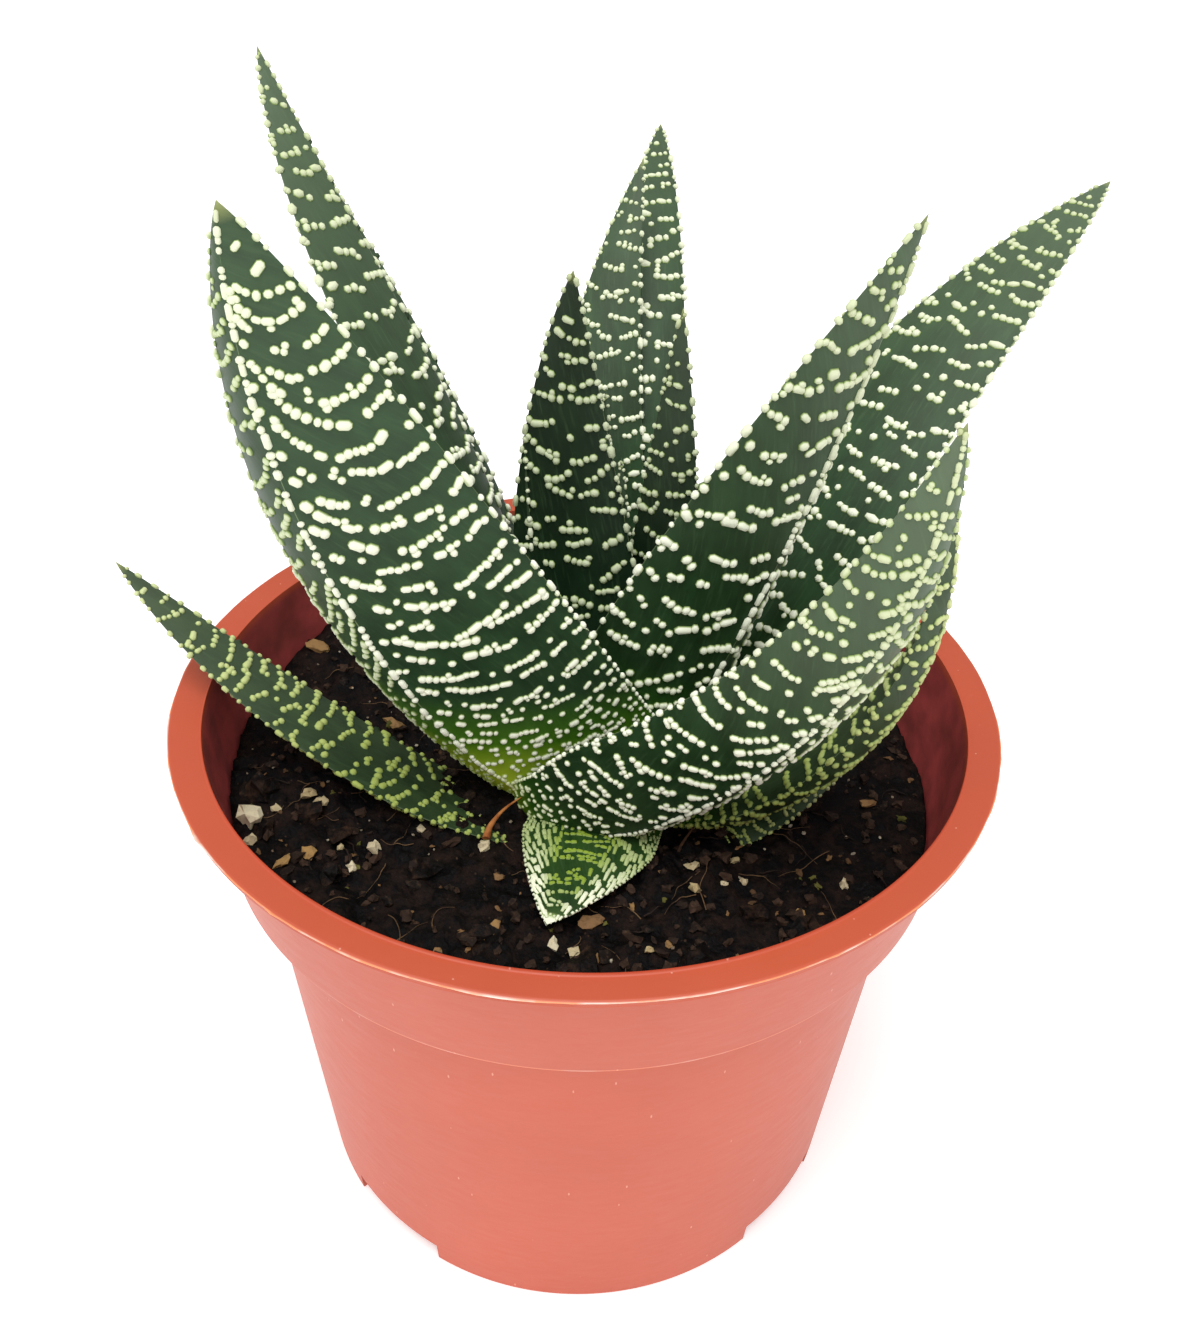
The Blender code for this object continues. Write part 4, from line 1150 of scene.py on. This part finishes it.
# Front leaves
# The two broadest leaves, which clasp the front of the stem and are seen on their keeled outer
# faces.
grow_leaf(YOUNG, name="leaf_front_left", slot="leaf_young", at=(-1.5, -2.8, 68.5),
          turn=(210, 215), rise=(52.5, 75.5), length=83, width=28.6, taper=3.0, thick=0.54,
          roll=(-58, -49.5), keel=0.42, foot=(6, 215, 47, 0.85, 26), bead=1.0, row_gap=3.2,
          settle=34, sweep=9.0, glow=(3, 23), glow_lean=-0.9, sallow=(-3, 8), haze=0.16, chain=8,
          waver=0.5, bars=0.25, shaded=2, sides=8)
grow_leaf(MATURE, name="leaf_front_right", slot="leaf_green", at=(-2.2, -12.4, 68.2),
          turn=(-14.5, -52), rise=(31, 82.5), length=75, width=21.0, taper=1.75, thick=0.55,
          roll=(63.5, 42), keel=-0.35, foot=(9.3, -55, 8, 0.11, 12.8), bead=0.9, row_gap=3.0,
          settle=20, glow=(-9, 3), sallow=(-9, 0), haze=0.5, chain=6, waver=0.8, bars=0.2,
          sides=7)


# Outer leaves
# The oldest leaves, low round the edge: duller, with yellow-green tubercles. One has stayed
# short, with thick white-beaded edges, and one has withered back to a small blade.
grow_leaf(OLD, name="leaf_low_right", slot="leaf_green", at=(12.0, -6.2, 65.5),
          turn=(-18, -34), rise=(22, 103), length=63, width=17.4, taper=1.7, thick=0.5,
          roll=(-7, 0), keel=0.4, foot=(6, -30, 15, 0.5, 12), bead=0.85, row_gap=3.1,
          sallow=(20, 60))
grow_leaf(OLD, name="leaf_low_left", slot="leaf_old", at=(-10.6, -12.2, 63.3), turn=(169, 160),
          rise=(19, 42), length=59, width=13.0, taper=2.0, thick=0.5, roll=(-15, 10), keel=0.0,
          foot=(7, 185, 14, 0.3, 14), row_gap=2.8, bead=0.85, glow=(-7, 0), sallow=(20, 58),
          sides=7)
grow_leaf(OLD, name="leaf_low_front_right", slot="leaf_old", at=(19.0, -12.9, 62.9),
          turn=(28, 34), rise=(22, 4), length=20, width=6.6, taper=1.8, thick=0.5,
          roll=(-15, -15), keel=0.0, foot=(4, 60, 30, 0.3, 12), bead=0.6, row_gap=1.9,
          settle=2, glow=(-4, 0), sallow=(0, 20))
grow_leaf(STUNTED, name="leaf_stump_front", slot="leaf_old", at=(0.8, -17.0, 65.4),
          turn=(-107, -107), rise=(1, 0), length=15, width=17.6, taper=1.25, thick=0.6,
          roll=(0, 0), keel=0.1, foot=(6, -104, 8, 0.95, 12), bead=0.5, row_gap=1.1, bars=0.6,
          chain=8, settle=-2, sweep=3.0, lift=4.5, glow=(-6, -2), sallow=(9, 15),
          white_edges=True, dry=0, haze=0, sides=5)


# Floor and light
# A white paper sweep, lit so brightly that it burns out, in a room with a window behind the
# viewer: the sky is brighter on that side, and a wide soft light comes from there too.
deselect_everything()
bpy.ops.mesh.primitive_plane_add(size=8)
floor = bpy.context.object
floor.name = "white_floor"
paper, tree, shader = new_material("white_paper")
set_sockets(tree, shader, {"Base Color": "#FFFFFF", "Roughness": 1.0, "Specular IOR Level": 0.0,
                           "Emission Color": "#FFFFFF", "Emission Strength": 0.2})
paper.cycles.emission_sampling = "NONE"
floor.data.materials.append(paper)

sky = bpy.data.worlds.new("bright_room")
sky.use_nodes = True
bpy.context.scene.world = sky
bpy.context.scene.view_settings.view_transform = "Standard"
heading = add_node(sky.node_tree, "TexCoord", "Generated")
backward = add_node(sky.node_tree, "SeparateXYZ", "Y", {"Vector": heading})
glare = add_node(sky.node_tree, "MapRange", "Result", {"Value": backward, "From Min": -1.0,
                                                       "To Min": 0.95, "To Max": 0.4})
seen = add_node(sky.node_tree, "LightPath", "Is Camera Ray")
# What is seen of the sky is plain white, whatever its strength as a light
strength = add_node(sky.node_tree, "Mix", "Result", {"Factor": seen, "A": glare, "B": 1.0},
                    data_type="FLOAT")
set_sockets(sky.node_tree, sky.node_tree.nodes["Background"],
            {"Color": "#FFFFFF", "Strength": strength})

deselect_everything()
bpy.ops.object.light_add(type="SUN", rotation=(math.radians(16), 0, math.radians(-18)))
window = bpy.context.object
window.name = "window_light"
window.data.energy = 2.05
window.data.angle = math.radians(45)


# Camera
# The photograph was taken from close to, 154 mm from the pot's axis, and looks down on the plant
# at an angle of 35 degrees. Its focal length is given in the photograph's own pixels.
CAMERA_TILT = math.radians(35.37)
CAMERA_ROLL = math.radians(1.86)
CAMERA_DISTANCE = 154.2
CAMERA_AIM = Vector((1.62, 0.0, 79.43))
FOCAL_PIXELS = 1181.0
PHOTO_HEIGHT = 1343.0

back = Vector((0, -math.cos(CAMERA_TILT), math.sin(CAMERA_TILT)))
level_up = back.cross(Vector((1, 0, 0)))
right = math.cos(CAMERA_ROLL) * Vector((1, 0, 0)) + math.sin(CAMERA_ROLL) * level_up
up = back.cross(right)
deselect_everything()
bpy.ops.object.camera_add()
camera = bpy.context.object
camera.matrix_world = Matrix.Translation((CAMERA_AIM + CAMERA_DISTANCE * back) * MM) @ Matrix(
    (right, up, back)).transposed().to_4x4()
camera.data.sensor_width = 36.0
camera.data.lens = camera.data.sensor_width * FOCAL_PIXELS / PHOTO_HEIGHT
camera.data.clip_start = 0.01
bpy.context.scene.camera = camera
